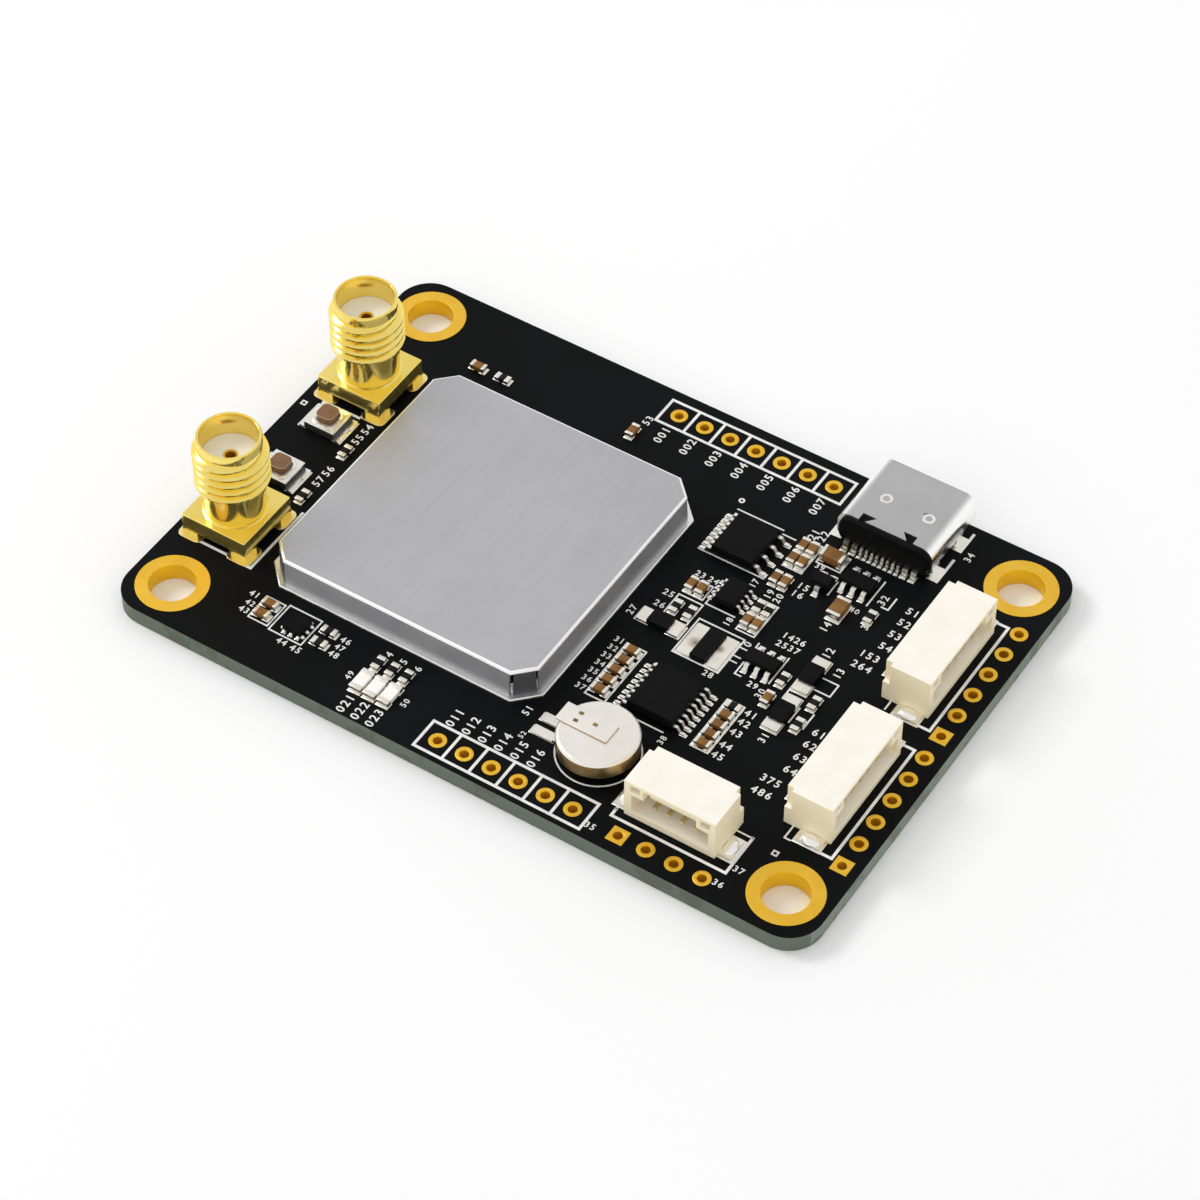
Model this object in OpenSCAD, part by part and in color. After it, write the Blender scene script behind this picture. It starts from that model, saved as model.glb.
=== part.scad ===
// Satellite receiver board with two antenna jacks, a shielded radio part, a USB socket,
// three wire sockets, a backup coin cell and two push switches.
// Millimetres, +Z up. The origin is the middle of the four mounting holes, on the board's underside.

/* [Board] */
// Length of the board along X
board_w = 66; // [64:0.5:80]
// Depth of the board along Y
board_d = 45; // [44:0.5:60]
// Thickness of the board
board_t = 1.6; // [1:0.1:2.4]
// Radius of the board's corners
corner_r = 3; // [1.5:0.25:3.75]
// From the short edge to a mounting hole's axis
hole_inset_x = 3.8; // [3.5:0.1:4.4]
// From the long edge to a mounting hole's axis
hole_inset_y = 3.95; // [3.5:0.1:4.4]
// Clear diameter of a mounting hole
hole_d = 4; // [3:0.1:4.4]
// Width of the gold ring round a mounting hole
hole_ring = 1.1; // [0.5:0.05:1.2]
// Thickness of the copper plating and pads
plating_t = 0.05; // [0.03:0.01:0.1]

/* [Header holes] */
// Spacing of the header holes
header_pitch = 2.54; // [2:0.02:2.6]
// Finished diameter of a header hole
header_hole_d = 0.8; // [0.6:0.05:1]
// Diameter of a header hole's pad
header_pad_d = 1.5; // [1.3:0.05:1.8]
// Holes in the back row
back_row_n = 7; // [2:1:7]
// Holes in the front row
front_row_n = 6; // [2:1:6]
// Holes in the short row at the front corner
corner_row_n = 4; // [2:1:4]
// Holes in each of the two side rows
side_row_n = 6; // [2:1:6]

/* [Shield] */
// Length of the lid along X, at its foot
can_w = 25.6; // [20:0.2:26]
// Depth of the lid along Y, at its foot
can_d = 25.6; // [20:0.2:26]
// Height of the lid's top over the board
can_h = 2.9; // [2.4:0.1:4]
// Inward lean of the lid's walls from foot to top
can_draft = 0.1; // [0.05:0.05:0.5]
// Leg of the lid's cut corners
can_chamfer = 1.7; // [1:0.1:2.5]
// Sheet thickness of lid and frame
can_sheet = 0.25; // [0.15:0.05:0.3]
// Width of the open seams beside the cut corners
can_seam = 0.3; // [0.15:0.05:0.5]
// Width of the frame's foot outside the lid
frame_foot = 0.5; // [0.3:0.05:0.7]
// Height of the frame's upright wall inside the lid
frame_wall_h = 1.2; // [0.6:0.1:1.6]
// Play between the lid and the frame's upright wall
frame_play = 0.04; // [0.02:0.01:0.1]

/* [Antenna jacks] */
// From the short edge to a jack's axis
jack_inset = 4.3; // [4:0.1:5]
// Place of the front jack along Y
front_jack_y = -10.3; // [-10.8:0.1:-9]
// Place of the rear jack along Y
rear_jack_y = 8.8; // [8:0.1:11]
// Side of the square flange
jack_flange = 6.4; // [5.6:0.1:6.8]
// Thickness of the flange
jack_flange_t = 1.55; // [1:0.05:2]
// Height of the four feet under the flange
jack_foot_h = 0.6; // [0.4:0.05:1]
// Side of a square foot
jack_foot = 1.5; // [1:0.1:1.6]
// Outside diameter of the thread
jack_thread_d = 6.35; // [6:0.05:6.4]
// Length of the threaded part
jack_thread_l = 5.1; // [3:0.1:6]
// Diameter of the neck under the thread
jack_neck_d = 5.25; // [5.1:0.05:5.6]
// Diameter of the plain nose over the thread
jack_nose_d = 5.45; // [5.2:0.05:5.7]
// Length of the neck
jack_neck_l = 2.45; // [2:0.05:5]
// Length of the plain nose over the thread
jack_nose_l = 0.7; // [0.4:0.05:1.2]
// Diameter of the mouth
jack_mouth_d = 4.9; // [4.4:0.05:5]
// Depth of the mouth down to the insulator
jack_mouth_l = 2.25; // [1.5:0.05:3]
// Diameter of the white insulator
jack_insulator_d = 4.1; // [3.6:0.05:4.2]
// Outside diameter of the centre contact
jack_contact_d = 1.27; // [1.1:0.01:1.5]
// Bore of the centre contact
jack_contact_bore = 0.92; // [0.8:0.01:1]

/* [Push switches] */
// From the short edge to a switch's middle
switch_inset = 3.95; // [3.4:0.05:4.4]
// Place of the front switch along Y
front_switch_y = -3.7; // [-4.5:0.1:-2]
// Place of the rear switch along Y
rear_switch_y = 3.1; // [2:0.1:3.5]
// Length of the switch base along X
switch_w = 3; // [2.8:0.1:3.4]
// Depth of the switch base along Y
switch_d = 2.9; // [2.7:0.1:3.2]
// Height of the switch base
switch_base_h = 0.65; // [0.65:0.05:0.9]
// Sheet thickness of the cover
switch_cover_t = 0.15; // [0.1:0.05:0.2]
// Side of the button
button_side = 1.65; // [1.4:0.05:1.75]
// Corner radius of the button
button_r = 0.45; // [0.2:0.05:0.6]
// How far the button stands over the cover
button_rise = 0.7; // [0.4:0.05:1]
// Travel of the button
button_travel = 0.2; // [0.1:0.01:0.22]
// Play round the button
button_play = 0.06; // [0.04:0.01:0.1]

/* [USB socket] */
// Place of the socket along X
usb_x = 18.05; // [17.8:0.05:18.5]
// How far the mouth stands out past the board's edge
usb_overhang = 0.25; // [0:0.05:1]
// Width of the shell
usb_w = 8.94; // [8.7:0.02:9.2]
// Height of the shell
usb_h = 3.2; // [3:0.02:3.4]
// Length of the shell
usb_l = 7.35; // [6.8:0.05:7.6]
// Wall of the shell
usb_wall = 0.3; // [0.2:0.02:0.35]
// Outer corner radius of the shell
usb_r = 1.2; // [0.8:0.05:1.4]
// Length of the tongue in front of the housing
usb_tongue_l = 4.3; // [3.5:0.1:4.6]
// Thickness of the tongue
usb_tongue_t = 0.7; // [0.5:0.05:0.9]

/* [Wire sockets] */
// Ways of each side socket
side_port_n = 6; // [2:1:6]
// Ways of the corner socket
corner_port_n = 4; // [2:1:4]
// Spacing of the socket's ways
port_pitch = 1.25; // [1.1:0.05:1.3]
// Depth of a housing from mouth to rear
port_d = 4.25; // [4:0.05:4.6]
// Height of a housing
port_h = 4.1; // [3.8:0.05:4.6]
// Wall of a housing at its ends
port_wall = 0.65; // [0.6:0.05:0.8]
// Thickness of the housing's floor
port_floor = 0.7; // [0.5:0.05:0.9]
// Thickness of the housing's roof
port_roof = 0.35; // [0.25:0.05:0.5]
// From the board's short edge to the mouths of the side sockets
side_port_inset = 3.35; // [3.2:0.05:4]
// Middle of the rear side socket along Y
rear_port_y = 7.75; // [7.4:0.05:8.2]
// Middle of the front side socket along Y
front_port_y = -7.3; // [-7.6:0.05:-6.8]
// Middle of the corner socket along X
corner_port_x = 18.75; // [18:0.05:19]
// From the board's front edge to the mouth of the corner socket
corner_port_inset = 3.8; // [3.6:0.05:4.4]

/* [Coin cell] */
// Place of the cell along X
cell_x = 9.7; // [9.4:0.05:9.9]
// Place of the cell along Y
cell_y = -14.75; // [-15:0.05:-14]
// Diameter of the cell
cell_dia = 6.8; // [6:0.1:7]
// Thickness of the cell
cell_t = 2.1; // [1.4:0.1:2.6]
// Height of the cell over the board
cell_gap = 0.45; // [0.4:0.05:0.6]
// Thickness of the welded tabs
cell_tab_t = 0.15; // [0.1:0.05:0.2]
// Width of the top tab
cell_tab_w = 1.95; // [1.4:0.05:2.2]

/* [Small parts] */
// Length of a small chip part
chip_l = 1.4; // [1.2:0.05:1.6]
// Width of a small chip part
chip_w = 0.7; // [0.5:0.05:0.8]
// Height of a small chip part
chip_h = 0.5; // [0.3:0.05:0.9]
// Height of a chip resistor
resistor_h = 0.35; // [0.25:0.05:0.6]
// Length of a large chip part
big_chip_l = 2.1; // [1.6:0.05:2.3]
// Width of a large chip part
big_chip_w = 1.2; // [0.8:0.05:1.3]
// Height of a large chip part
big_chip_h = 0.8; // [0.6:0.05:1.3]
// Length of a chip diode
diode_l = 4; // [3.2:0.05:4.1]
// Width of a chip diode
diode_w = 1.45; // [1:0.05:1.6]
// Height of a chip diode
diode_h = 0.6; // [0.5:0.05:1.4]
// Height of a chip diode's end plates
diode_plate_h = 0.25; // [0.15:0.05:0.5]
// Length of the power inductor
inductor_l = 3.85; // [3:0.05:4]
// Depth of the power inductor
inductor_d = 3.5; // [3:0.05:4]
// Height of the power inductor
inductor_h = 0.5; // [0.4:0.05:2]
// Height of the power inductor's end plates
inductor_plate_h = 0.12; // [0.08:0.02:0.3]
// Length of an indicator lamp
lamp_l = 2.2; // [1.6:0.05:2.3]
// Width of an indicator lamp
lamp_w = 1.1; // [0.7:0.05:1.2]
// Height of an indicator lamp
lamp_h = 0.5; // [0.4:0.05:1]
// Thickness of the chip leads
lead_t = 0.15; // [0.1:0.01:0.2]

/* [Hidden] */
$fn = 48;

// Edges of the board and the levels that parts sit on
left = -board_w / 2;
right = board_w / 2;
front = -board_d / 2;
back = board_d / 2;
seat = board_t + plating_t;
// A cut runs this far past the face that it opens
past = 0.5;
// Blocks of one piece run this far into each other
bite = 0.01;

// Colours
gold = "#d9ab36";
tin = "#cfcfcb";
cream = "#f4eedd";
black_resin = "#1d1e20";

// Middle of each header row
back_row = [2.98, back - 2.46];
front_row = [4.74, front + 1.97];
corner_row = [19.25, front + 1.68];
side_row_x = right - 1.56;
side_rows_y = [7.72, -7.62];

// Middle of the shield
can_place = [-10.35, -0.95];

// Indicator lamps stand in a row near the front edge, each with its resistor behind it
lamp_row_x = [-10.05, -8.7, -7.35];
lamp_inset = 3.6;
lamp_resistor_inset = 5.9;

// A resistor stands inward of each switch, a little in front of its middle
switch_resistor_side = 3.15;
rear_resistor_ahead = 2;
front_resistor_ahead = 1.3;
function beside_switch(y) = [left + switch_inset + switch_resistor_side, y, 90];

// Places of the chip parts: x, y and turn about Z
capacitor_places = [
    [6.5, 4.2, 90], [7.45, 4.2, 90], [11.95, 12.8, 90], [12.85, 12.8, 90], [11.95, 11.15, 90],
    [12.85, 11.15, 90], [11.9, 8.5, 90], [12.8, 8.5, 90], [12.35, 3.3, 90], [13.25, 3.3, 90],
    [6.3, -4.5, 0], [6.3, -5.7, 0], [6.3, -6.9, 0], [6.3, -8.1, 0], [6.3, -9.3, 0],
    [16.15, -6.2, 0], [16.15, -7.35, 0], [16.15, -8.5, 0], [16.15, -9.6, 0],
    [-21, -16.2, 0], [-21, -17.4, 0], [-22.1, 15.5, 0], [-6.9, 16.2, 90], [18, -2.9, 90]
];
big_capacitor_places = [[14.75, 12.9, 0], [18, 8.2, 90]];
resistor_places = [
    [12.35, 5.1, 90], [13.25, 5.1, 90], [6.67, 1.5, 90], [8.03, 1.5, 90], [16.15, -5.05, 0],
    beside_switch(rear_switch_y - rear_resistor_ahead), beside_switch(front_switch_y - front_resistor_ahead),
    [-15.3, -16, 0], [-15.3, -17.4, 0], [-19.6, 15.5, 0], [20.5, 9, 90],
    [18, -0.5, 90], [21.4, -1.3, 90], [21.4, -3.9, 90],
    for (x = lamp_row_x) [x, front + lamp_resistor_inset, 90]
];
diode_places = [[6.55, -0.6, 0], [19.7, 1.1, 90], [19.7, -3.5, 90]];
lamp_places = [for (x = lamp_row_x) [x, front + lamp_inset, 90]];
inductor_place = [11.12, -0.72];

// Length, width and height of each kind of chip part
chip_size = [chip_l, chip_w, chip_h];
resistor_size = [chip_l, chip_w, resistor_h];
big_chip_size = [big_chip_l, big_chip_w, big_chip_h];
diode_size = [diode_l, diode_w, diode_h];
diode_plates = [diode_l, diode_w, diode_plate_h];
inductor_size = [inductor_l, inductor_d, inductor_h];
inductor_plates = [inductor_l, inductor_d, inductor_plate_h];
lamp_size = [lamp_l, lamp_w, lamp_h];

// Leads of the chips: pitch on each side, width and how far they stand out of the body
driver_pitch = [1.27, 0.6];
fine_pitch = [0.65, 0.65];
coarse_pitch = [0.95, 0.95];
driver_lead_w = 0.33;
fine_lead_w = 0.24;
coarse_lead_w = 0.4;
transistor_lead_w = 0.45;
long_lead = 1.05;
short_lead = 0.6;
regulator_lead = 0.75;
transistor_lead = 0.65;

// Chips with leads: place, body size, leads on each side, their pitch, lead width, reach of the leads
driver_lead_n = [4, 8];
buffer_lead_n = [4, 4];
converter_lead_n = [8, 8];
regulator_lead_n = [3, 3];
transistor_lead_n = [2, 1];
driver_body = [4, 4.6, 1.1];
buffer_body = [2, 2.8, 0.9];
converter_body = [4.4, 5, 1.1];
regulator_body = [1.5, 2.9, 0.7];
transistor_size = [1.3, 1.7, 0.95];
function lead_reach(body, lead) = body[0] / 2 + lead;
line_driver = [
    [7.9, 10.3], driver_body, driver_lead_n, driver_pitch, driver_lead_w,
    lead_reach(driver_body, long_lead)
];
bus_buffer = [
    [9.95, 4.9], buffer_body, buffer_lead_n, fine_pitch, fine_lead_w,
    lead_reach(buffer_body, short_lead)
];
serial_converter = [
    [11.25, -7.3], converter_body, converter_lead_n, fine_pitch, fine_lead_w,
    lead_reach(converter_body, long_lead)
];
buck_regulator = [
    [15.8, 0.1], regulator_body, regulator_lead_n, coarse_pitch, coarse_lead_w,
    lead_reach(regulator_body, regulator_lead)
];
linear_regulator = [
    [17.9, 11.7], regulator_body, regulator_lead_n, coarse_pitch, coarse_lead_w,
    lead_reach(regulator_body, regulator_lead)
];
transistor = [
    [15.4, 10], transistor_size, transistor_lead_n, coarse_pitch, transistor_lead_w,
    lead_reach(transistor_size, transistor_lead)
];
logic_chip_place = [-17.8, -16.95];
logic_chip_size = [1.8, 1.7, 0.65];
logic_pad = [0.4, 0.55];
logic_pad_n = 3;
logic_pitch = 0.65;

// Chips under the shield: x and y from the shield's middle, then length, depth and height
processor_box = [4.2, 2, 9, 9, 0.9];
front_end_boxes = [[-6.5, 4.6, 5, 5, 0.8], [-6.5, -4.6, 5, 5, 0.8]];
oscillator_box = [0.6, -7.2, 3.2, 2.5, 1];
filter_inset = [4, 1.9];
filter_middle_x = -2.4;
filter_y = can_d / 2 - filter_inset[1];
filter_boxes = [
    for (x = [filter_inset[0] - can_w / 2, filter_middle_x], y = [-filter_y, filter_y]) [x, y, 1.6, 1.2, 0.6]
];
memory_box = [6.6, -7.4, 4, 3, 0.75];

// Middle of each wide tail of the USB socket; the narrow ones stand between them
usb_wide_tails = [-3.2, -2.4, 2.4, 3.2];
usb_narrow_n = 8;

// Flat outlines
module rounded_rect(w, d, r) {
    square([w - 2 * r, d], center = true);
    square([w, d - 2 * r], center = true);
    for (x = [-1, 1], y = [-1, 1]) {
        translate([x * (w / 2 - r), y * (d / 2 - r)]) circle(r = r);
    }
}

// A row of n places along X, a pitch apart, with the middle at the origin
module in_row(n, pitch) {
    for (i = [0:n - 1]) {
        translate([(i - (n - 1) / 2) * pitch, 0, 0]) children();
    }
}

// A flat outline drawn in X and Z, drawn out along Y about its middle
module drawn_along_y(length) {
    rotate([90, 0, 0]) linear_extrude(height = length, center = true) children();
}

// A block whose four walls lean in by draft from foot to top
module leaning_block(w, d, h, draft) {
    intersection() {
        drawn_along_y(2 * d) leaning_outline(w, h, draft);
        rotate([0, 0, 90]) drawn_along_y(2 * w) leaning_outline(d, h, draft);
    }
}

module leaning_outline(w, h, draft) {
    polygon([[-w / 2, 0], [w / 2, 0], [w / 2 - draft, h], [draft - w / 2, h]]);
}

// The same block with its four corners cut off at 45 degrees
module cut_corner_block(w, d, h, draft, chamfer) {
    across = sqrt(2) * ((w + d) / 2 - chamfer);
    intersection() {
        leaning_block(w, d, h, draft);
        rotate([0, 0, 45]) leaning_block(across, across, h, draft);
    }
}

// Board and plating
module at_mounting_holes() {
    for (x = [left + hole_inset_x, right - hole_inset_x]) {
        for (y = [front + hole_inset_y, back - hole_inset_y]) {
            translate([x, y, 0]) children();
        }
    }
}

// Every header hole: the first child is a round pad's, the second that of a row's square pad
module at_header_holes() {
    translate(back_row) in_row(back_row_n, header_pitch) children(0);
    translate(front_row) in_row(front_row_n, header_pitch) children(0);
    translate(corner_row) header_row(corner_row_n) {
        children(0);
        children(1);
    }
    for (y = side_rows_y) {
        translate([side_row_x, y, 0]) rotate([0, 0, 90]) header_row(side_row_n) {
            children(0);
            children(1);
        }
    }
}

module header_row(n) {
    for (i = [0:n - 1]) {
        translate([(i - (n - 1) / 2) * header_pitch, 0, 0]) {
            if (i == 0) children(1);
            else children(0);
        }
    }
}

// The copper of one plated hole: a barrel, a pad on top and a pad let into the underside
module plated_hole(bore, pad, square_pad = false) {
    difference() {
        plated_hole_space(bore, pad, square_pad, true);
        translate([0, 0, -past]) cylinder(d = bore, h = board_t + 2 * past);
    }
}

// What the copper fills, with the top pad or without it
module plated_hole_space(bore, pad, square_pad, with_top) {
    cylinder(d = bore + 2 * plating_t, h = with_top ? seat : board_t + past);
    pad_blank(pad, square_pad);
    if (with_top) translate([0, 0, board_t]) pad_blank(pad, square_pad);
}

module pad_blank(pad, square_pad) {
    if (square_pad) {
        translate([-pad / 2, -pad / 2, 0]) cube([pad, pad, plating_t]);
    } else {
        cylinder(d = pad, h = plating_t);
    }
}

module circuit_board() {
    color("#1a1b1d") difference() {
        linear_extrude(height = board_t) rounded_rect(board_w, board_d, corner_r);
        at_mounting_holes() hole_cut(hole_d, hole_d + 2 * hole_ring, false);
        at_header_holes() {
            hole_cut(header_hole_d, header_pad_d, false);
            hole_cut(header_hole_d, header_pad_d, true);
        }
    }
}

module hole_cut(bore, pad, square_pad) {
    translate([0, 0, -past]) cylinder(d = bore, h = past + plating_t);
    plated_hole_space(bore, pad, square_pad, false);
}

module mounting_hole_plating() {
    color(gold) at_mounting_holes() plated_hole(hole_d, hole_d + 2 * hole_ring);
}

module header_hole_plating() {
    color(gold) at_header_holes() {
        plated_hole(header_hole_d, header_pad_d);
        plated_hole(header_hole_d, header_pad_d, true);
    }
}

// Solder pads on the board's top, each from the part that stands on it
pad_margin = 0.15;
pad_side = 0.05;

module pad(x, y, w, d) {
    translate([x - w / 2, y - d / 2, 0]) cube([w, d, plating_t]);
}

module chip_pads(places, size, cap) {
    reach = cap + 2 * pad_margin;
    for (p = places, end = [-1, 1]) {
        translate([p[0], p[1], 0]) rotate([0, 0, p[2]]) {
            pad(end * (size[0] / 2 + pad_margin - reach / 2), 0, reach, size[1] + 2 * pad_side);
        }
    }
}

module lead_pads(chip, turn) {
    foot = lead_foot(chip) + pad_margin;
    for (side = [0, 1]) {
        at_chip(chip, turn + 180 * side) rotate([0, 0, 90]) in_row(chip[2][side], chip[3][side]) {
            pad(0, -chip[5] - pad_margin + foot / 2, chip[4] + 2 * pad_side, foot);
        }
    }
}

module solder_pads() {
    color(tin) translate([0, 0, board_t]) {
        chip_pads(capacitor_places, chip_size, chip_cap);
        chip_pads(big_capacitor_places, big_chip_size, big_cap);
        chip_pads(resistor_places, resistor_size, resistor_cap);
        chip_pads(diode_places, diode_size, diode_cap);
        chip_pads(lamp_places, lamp_size, lamp_cap);
        chip_pads([concat(inductor_place, [0])], inductor_size, inductor_cap);
        lead_pads(line_driver, 0);
        lead_pads(bus_buffer, 0);
        lead_pads(serial_converter, 0);
        lead_pads(buck_regulator, 90);
        lead_pads(linear_regulator, 90);
        lead_pads(transistor, 90);
        for (y = [front_jack_y, rear_jack_y]) {
            translate([left + jack_inset, y, 0]) jack_pads();
        }
        for (y = [front_switch_y, rear_switch_y]) {
            translate([left + switch_inset, y, 0]) switch_pads();
        }
        translate([usb_x, usb_rear, 0]) usb_pads();
        at_side_port(rear_port_y) port_pads(side_port_n);
        at_side_port(front_port_y) port_pads(side_port_n);
        at_corner_port() port_pads(corner_port_n);
        translate([cell_x, cell_y, 0]) cell_pads();
        translate([logic_chip_place[0], logic_chip_place[1], 0]) logic_pads();
    }
}

// Shield: a frame soldered to the board, and a folded lid that slips over it
module at_shield() {
    translate([can_place[0], can_place[1], board_t]) children();
}

lid_h = can_h - can_sheet;

// Lean of the lid's wall over a height, for pieces that keep to it
function lid_lean(h) = can_draft * h / lid_h;

module shield_frame() {
    inset = 2 * (can_sheet + frame_play + lid_lean(frame_wall_h));
    wall_w = can_w - inset;
    wall_d = can_d - inset;
    wall_chamfer = can_chamfer - inset * (1 - 1 / sqrt(2)) / 2;
    foot_w = can_w + 2 * frame_foot;
    foot_d = can_d + 2 * frame_foot;
    foot_chamfer = can_chamfer + frame_foot * (2 - sqrt(2));
    color("#e4e4e2") at_shield() difference() {
        union() {
            cut_corner_block(foot_w, foot_d, can_sheet, can_sheet / 3, foot_chamfer);
            cut_corner_block(wall_w, wall_d, frame_wall_h, 0, wall_chamfer);
        }
        translate([0, 0, -past]) {
            cut_corner_block(wall_w - 2 * can_sheet, wall_d - 2 * can_sheet,
                frame_wall_h + 2 * past, 0, wall_chamfer - can_sheet * (2 - sqrt(2)));
        }
    }
}

module shield_lid() {
    inner_w = can_w - 2 * can_sheet;
    inner_d = can_d - 2 * can_sheet;
    inner_chamfer = can_chamfer - can_sheet * (2 - sqrt(2));
    color("#b1b1b4") at_shield() translate([0, 0, can_sheet]) difference() {
        cut_corner_block(can_w, can_d, lid_h, can_draft, can_chamfer);
        translate([0, 0, -past]) {
            cut_corner_block(inner_w, inner_d, past + bite, 0, inner_chamfer);
        }
        cut_corner_block(inner_w, inner_d, lid_h - can_sheet, lid_lean(lid_h - can_sheet), inner_chamfer);
        lid_seams();
    }
}

// Open seams where the folded walls stop short of the cut corners
module lid_seams() {
    for (x = [-1, 1], y = [-1, 1]) {
        seam_at(x * (can_w / 2 - can_chamfer), y * can_d / 2, can_seam, 4 * can_sheet);
        seam_at(x * can_w / 2, y * (can_d / 2 - can_chamfer), 4 * can_sheet, can_seam);
    }
}

module seam_at(x, y, w, d) {
    translate([x - w / 2, y - d / 2, -past]) cube([w, d, past + lid_h - can_sheet]);
}

// Chips under the shield
module shielded_chip(box) {
    at_shield() translate([box[0] - box[2] / 2, box[1] - box[3] / 2, 0]) {
        cube([box[2], box[3], box[4]]);
    }
}

module receiver_processor() {
    color(black_resin) shielded_chip(processor_box);
}

module radio_front_ends() {
    color(black_resin) {
        for (box = front_end_boxes) shielded_chip(box);
    }
}

module reference_oscillator() {
    color("#c9c7c0") shielded_chip(oscillator_box);
}

module band_filters() {
    color("#8a7c5c") {
        for (box = filter_boxes) shielded_chip(box);
    }
}

module flash_memory() {
    color(black_resin) shielded_chip(memory_box);
}

// Antenna jacks, drawn about their own axis with the pads' top at zero
jack_flange_top = jack_foot_h + jack_flange_t;
jack_thread_z = jack_flange_top + jack_neck_l;
jack_nose_z = jack_thread_z + jack_thread_l;
jack_top = jack_nose_z + jack_nose_l;
jack_insulator_top = jack_top - jack_mouth_l;
jack_edge = 0.25;
jack_lip = 0.12;
jack_pad_margin = 0.45;
contact_recess = 0.05;
contact_bore_l = 2.6;

module at_front_jack() {
    translate([left + jack_inset, front_jack_y, seat]) children();
}

module at_rear_jack() {
    translate([left + jack_inset, rear_jack_y, seat]) children();
}

module jack_body() {
    color("#e6bd45") difference() {
        union() {
            jack_base();
            rotate_extrude() jack_profile();
        }
        translate([0, 0, -past]) cylinder(d = jack_insulator_d, h = jack_top + 2 * past);
        translate([0, 0, jack_insulator_top]) cylinder(d = jack_mouth_d, h = jack_mouth_l + past);
        translate([0, 0, jack_top - jack_lip]) {
            cylinder(d1 = jack_mouth_d, d2 = jack_mouth_d + 4 * jack_lip, h = 2 * jack_lip);
        }
    }
}

module jack_base() {
    at = (jack_flange - jack_foot) / 2;
    translate([-jack_flange / 2, -jack_flange / 2, jack_foot_h]) {
        cube([jack_flange, jack_flange, jack_flange_t]);
    }
    for (x = [-at, at], y = [-at, at]) {
        translate([x - jack_foot / 2, y - jack_foot / 2, 0]) {
            cube([jack_foot, jack_foot, jack_foot_h + bite]);
        }
    }
}

module jack_profile() {
    neck = jack_neck_d / 2;
    thread = jack_thread_d / 2;
    nose = jack_nose_d / 2;
    polygon([
        [0, jack_foot_h], [neck, jack_foot_h], [neck, jack_thread_z], [thread - jack_edge, jack_thread_z],
        [thread, jack_thread_z + jack_edge], [thread, jack_nose_z - jack_edge],
        [thread - jack_edge, jack_nose_z], [nose, jack_nose_z], [nose, jack_top - jack_lip],
        [nose - jack_lip, jack_top], [0, jack_top]
    ]);
}

module jack_insulator() {
    color("#f3f1ee") translate([0, 0, jack_foot_h]) difference() {
        cylinder(d = jack_insulator_d, h = jack_insulator_top - jack_foot_h);
        translate([0, 0, -past]) cylinder(d = jack_contact_d, h = jack_top);
    }
}

module jack_contact() {
    top = jack_insulator_top - contact_recess;
    color("#c9962f") difference() {
        cylinder(d = jack_contact_d, h = top);
        translate([0, 0, top - contact_bore_l]) {
            cylinder(d = jack_contact_bore, h = contact_bore_l + past);
        }
    }
}

module jack_pads() {
    at = (jack_flange - jack_foot) / 2;
    side = jack_foot + 2 * jack_pad_margin;
    for (x = [-at, at], y = [-at, at]) {
        translate([x, y, 0]) linear_extrude(height = plating_t) rounded_rect(side, side, side / 4);
    }
    cylinder(d = jack_contact_d + 4 * pad_margin, h = plating_t);
}

module front_jack_body() {
    at_front_jack() jack_body();
}

module front_jack_insulator() {
    at_front_jack() jack_insulator();
}

module front_jack_contact() {
    at_front_jack() jack_contact();
}

module rear_jack_body() {
    at_rear_jack() jack_body();
}

module rear_jack_insulator() {
    at_rear_jack() jack_insulator();
}

module rear_jack_contact() {
    at_rear_jack() jack_contact();
}

// Push switches, drawn about their own middle with the pads' top at zero
switch_floor = 0.15;
switch_well_wall = 0.2;
switch_well_d = min(switch_w, switch_d) - 2 * switch_well_wall;
button_flange_d = switch_well_d - 2 * button_play;
button_flange_t = 0.12;
button_flange_z = switch_base_h - button_play - button_flange_t;
dome_gap = 0.03;
dome_top = button_flange_z - button_travel - dome_gap;
dome_t = 0.04;
switch_top = switch_base_h + switch_cover_t;
switch_rim = 0.3;
terminal_reach = 0.55;
terminal_t = 0.15;
terminal_root_l = 0.3;
terminal_notch = [0.3, 0.7];

module at_front_switch() {
    translate([left + switch_inset, front_switch_y, seat]) children();
}

module at_rear_switch() {
    translate([left + switch_inset, rear_switch_y, seat]) children();
}

module switch_base() {
    color("#d8cdb8") difference() {
        translate([-switch_w / 2, -switch_d / 2, 0]) cube([switch_w, switch_d, switch_base_h]);
        translate([0, 0, switch_floor]) cylinder(d = switch_well_d, h = switch_base_h);
        for (side = [0, 180]) {
            rotate([0, 0, side]) terminal_root();
        }
    }
}

module switch_cover() {
    opening = button_side + 2 * button_play;
    opening_r = button_r + button_play;
    rim = opening + 2 * switch_rim;
    color("#e9e7e1") translate([0, 0, switch_base_h]) {
        linear_extrude(height = switch_cover_t) difference() {
            square([switch_w, switch_d], center = true);
            rounded_rect(opening, opening, opening_r);
        }
        translate([0, 0, switch_cover_t]) linear_extrude(height = switch_cover_t) difference() {
            rounded_rect(rim, rim, opening_r + switch_rim);
            rounded_rect(opening, opening, opening_r);
        }
    }
}

// A low dished disc that snaps flat under the button
module switch_dome() {
    rise = dome_top - switch_floor;
    half = button_flange_d / 2;
    color("#c8c8c4") translate([0, 0, switch_floor]) rotate_extrude() polygon([
        [0, rise - dome_t], [half / 2, rise - dome_t], [half - dome_t, 0],
        [half, 0], [half / 2 + dome_t, rise], [0, rise]
    ]);
}

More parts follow.
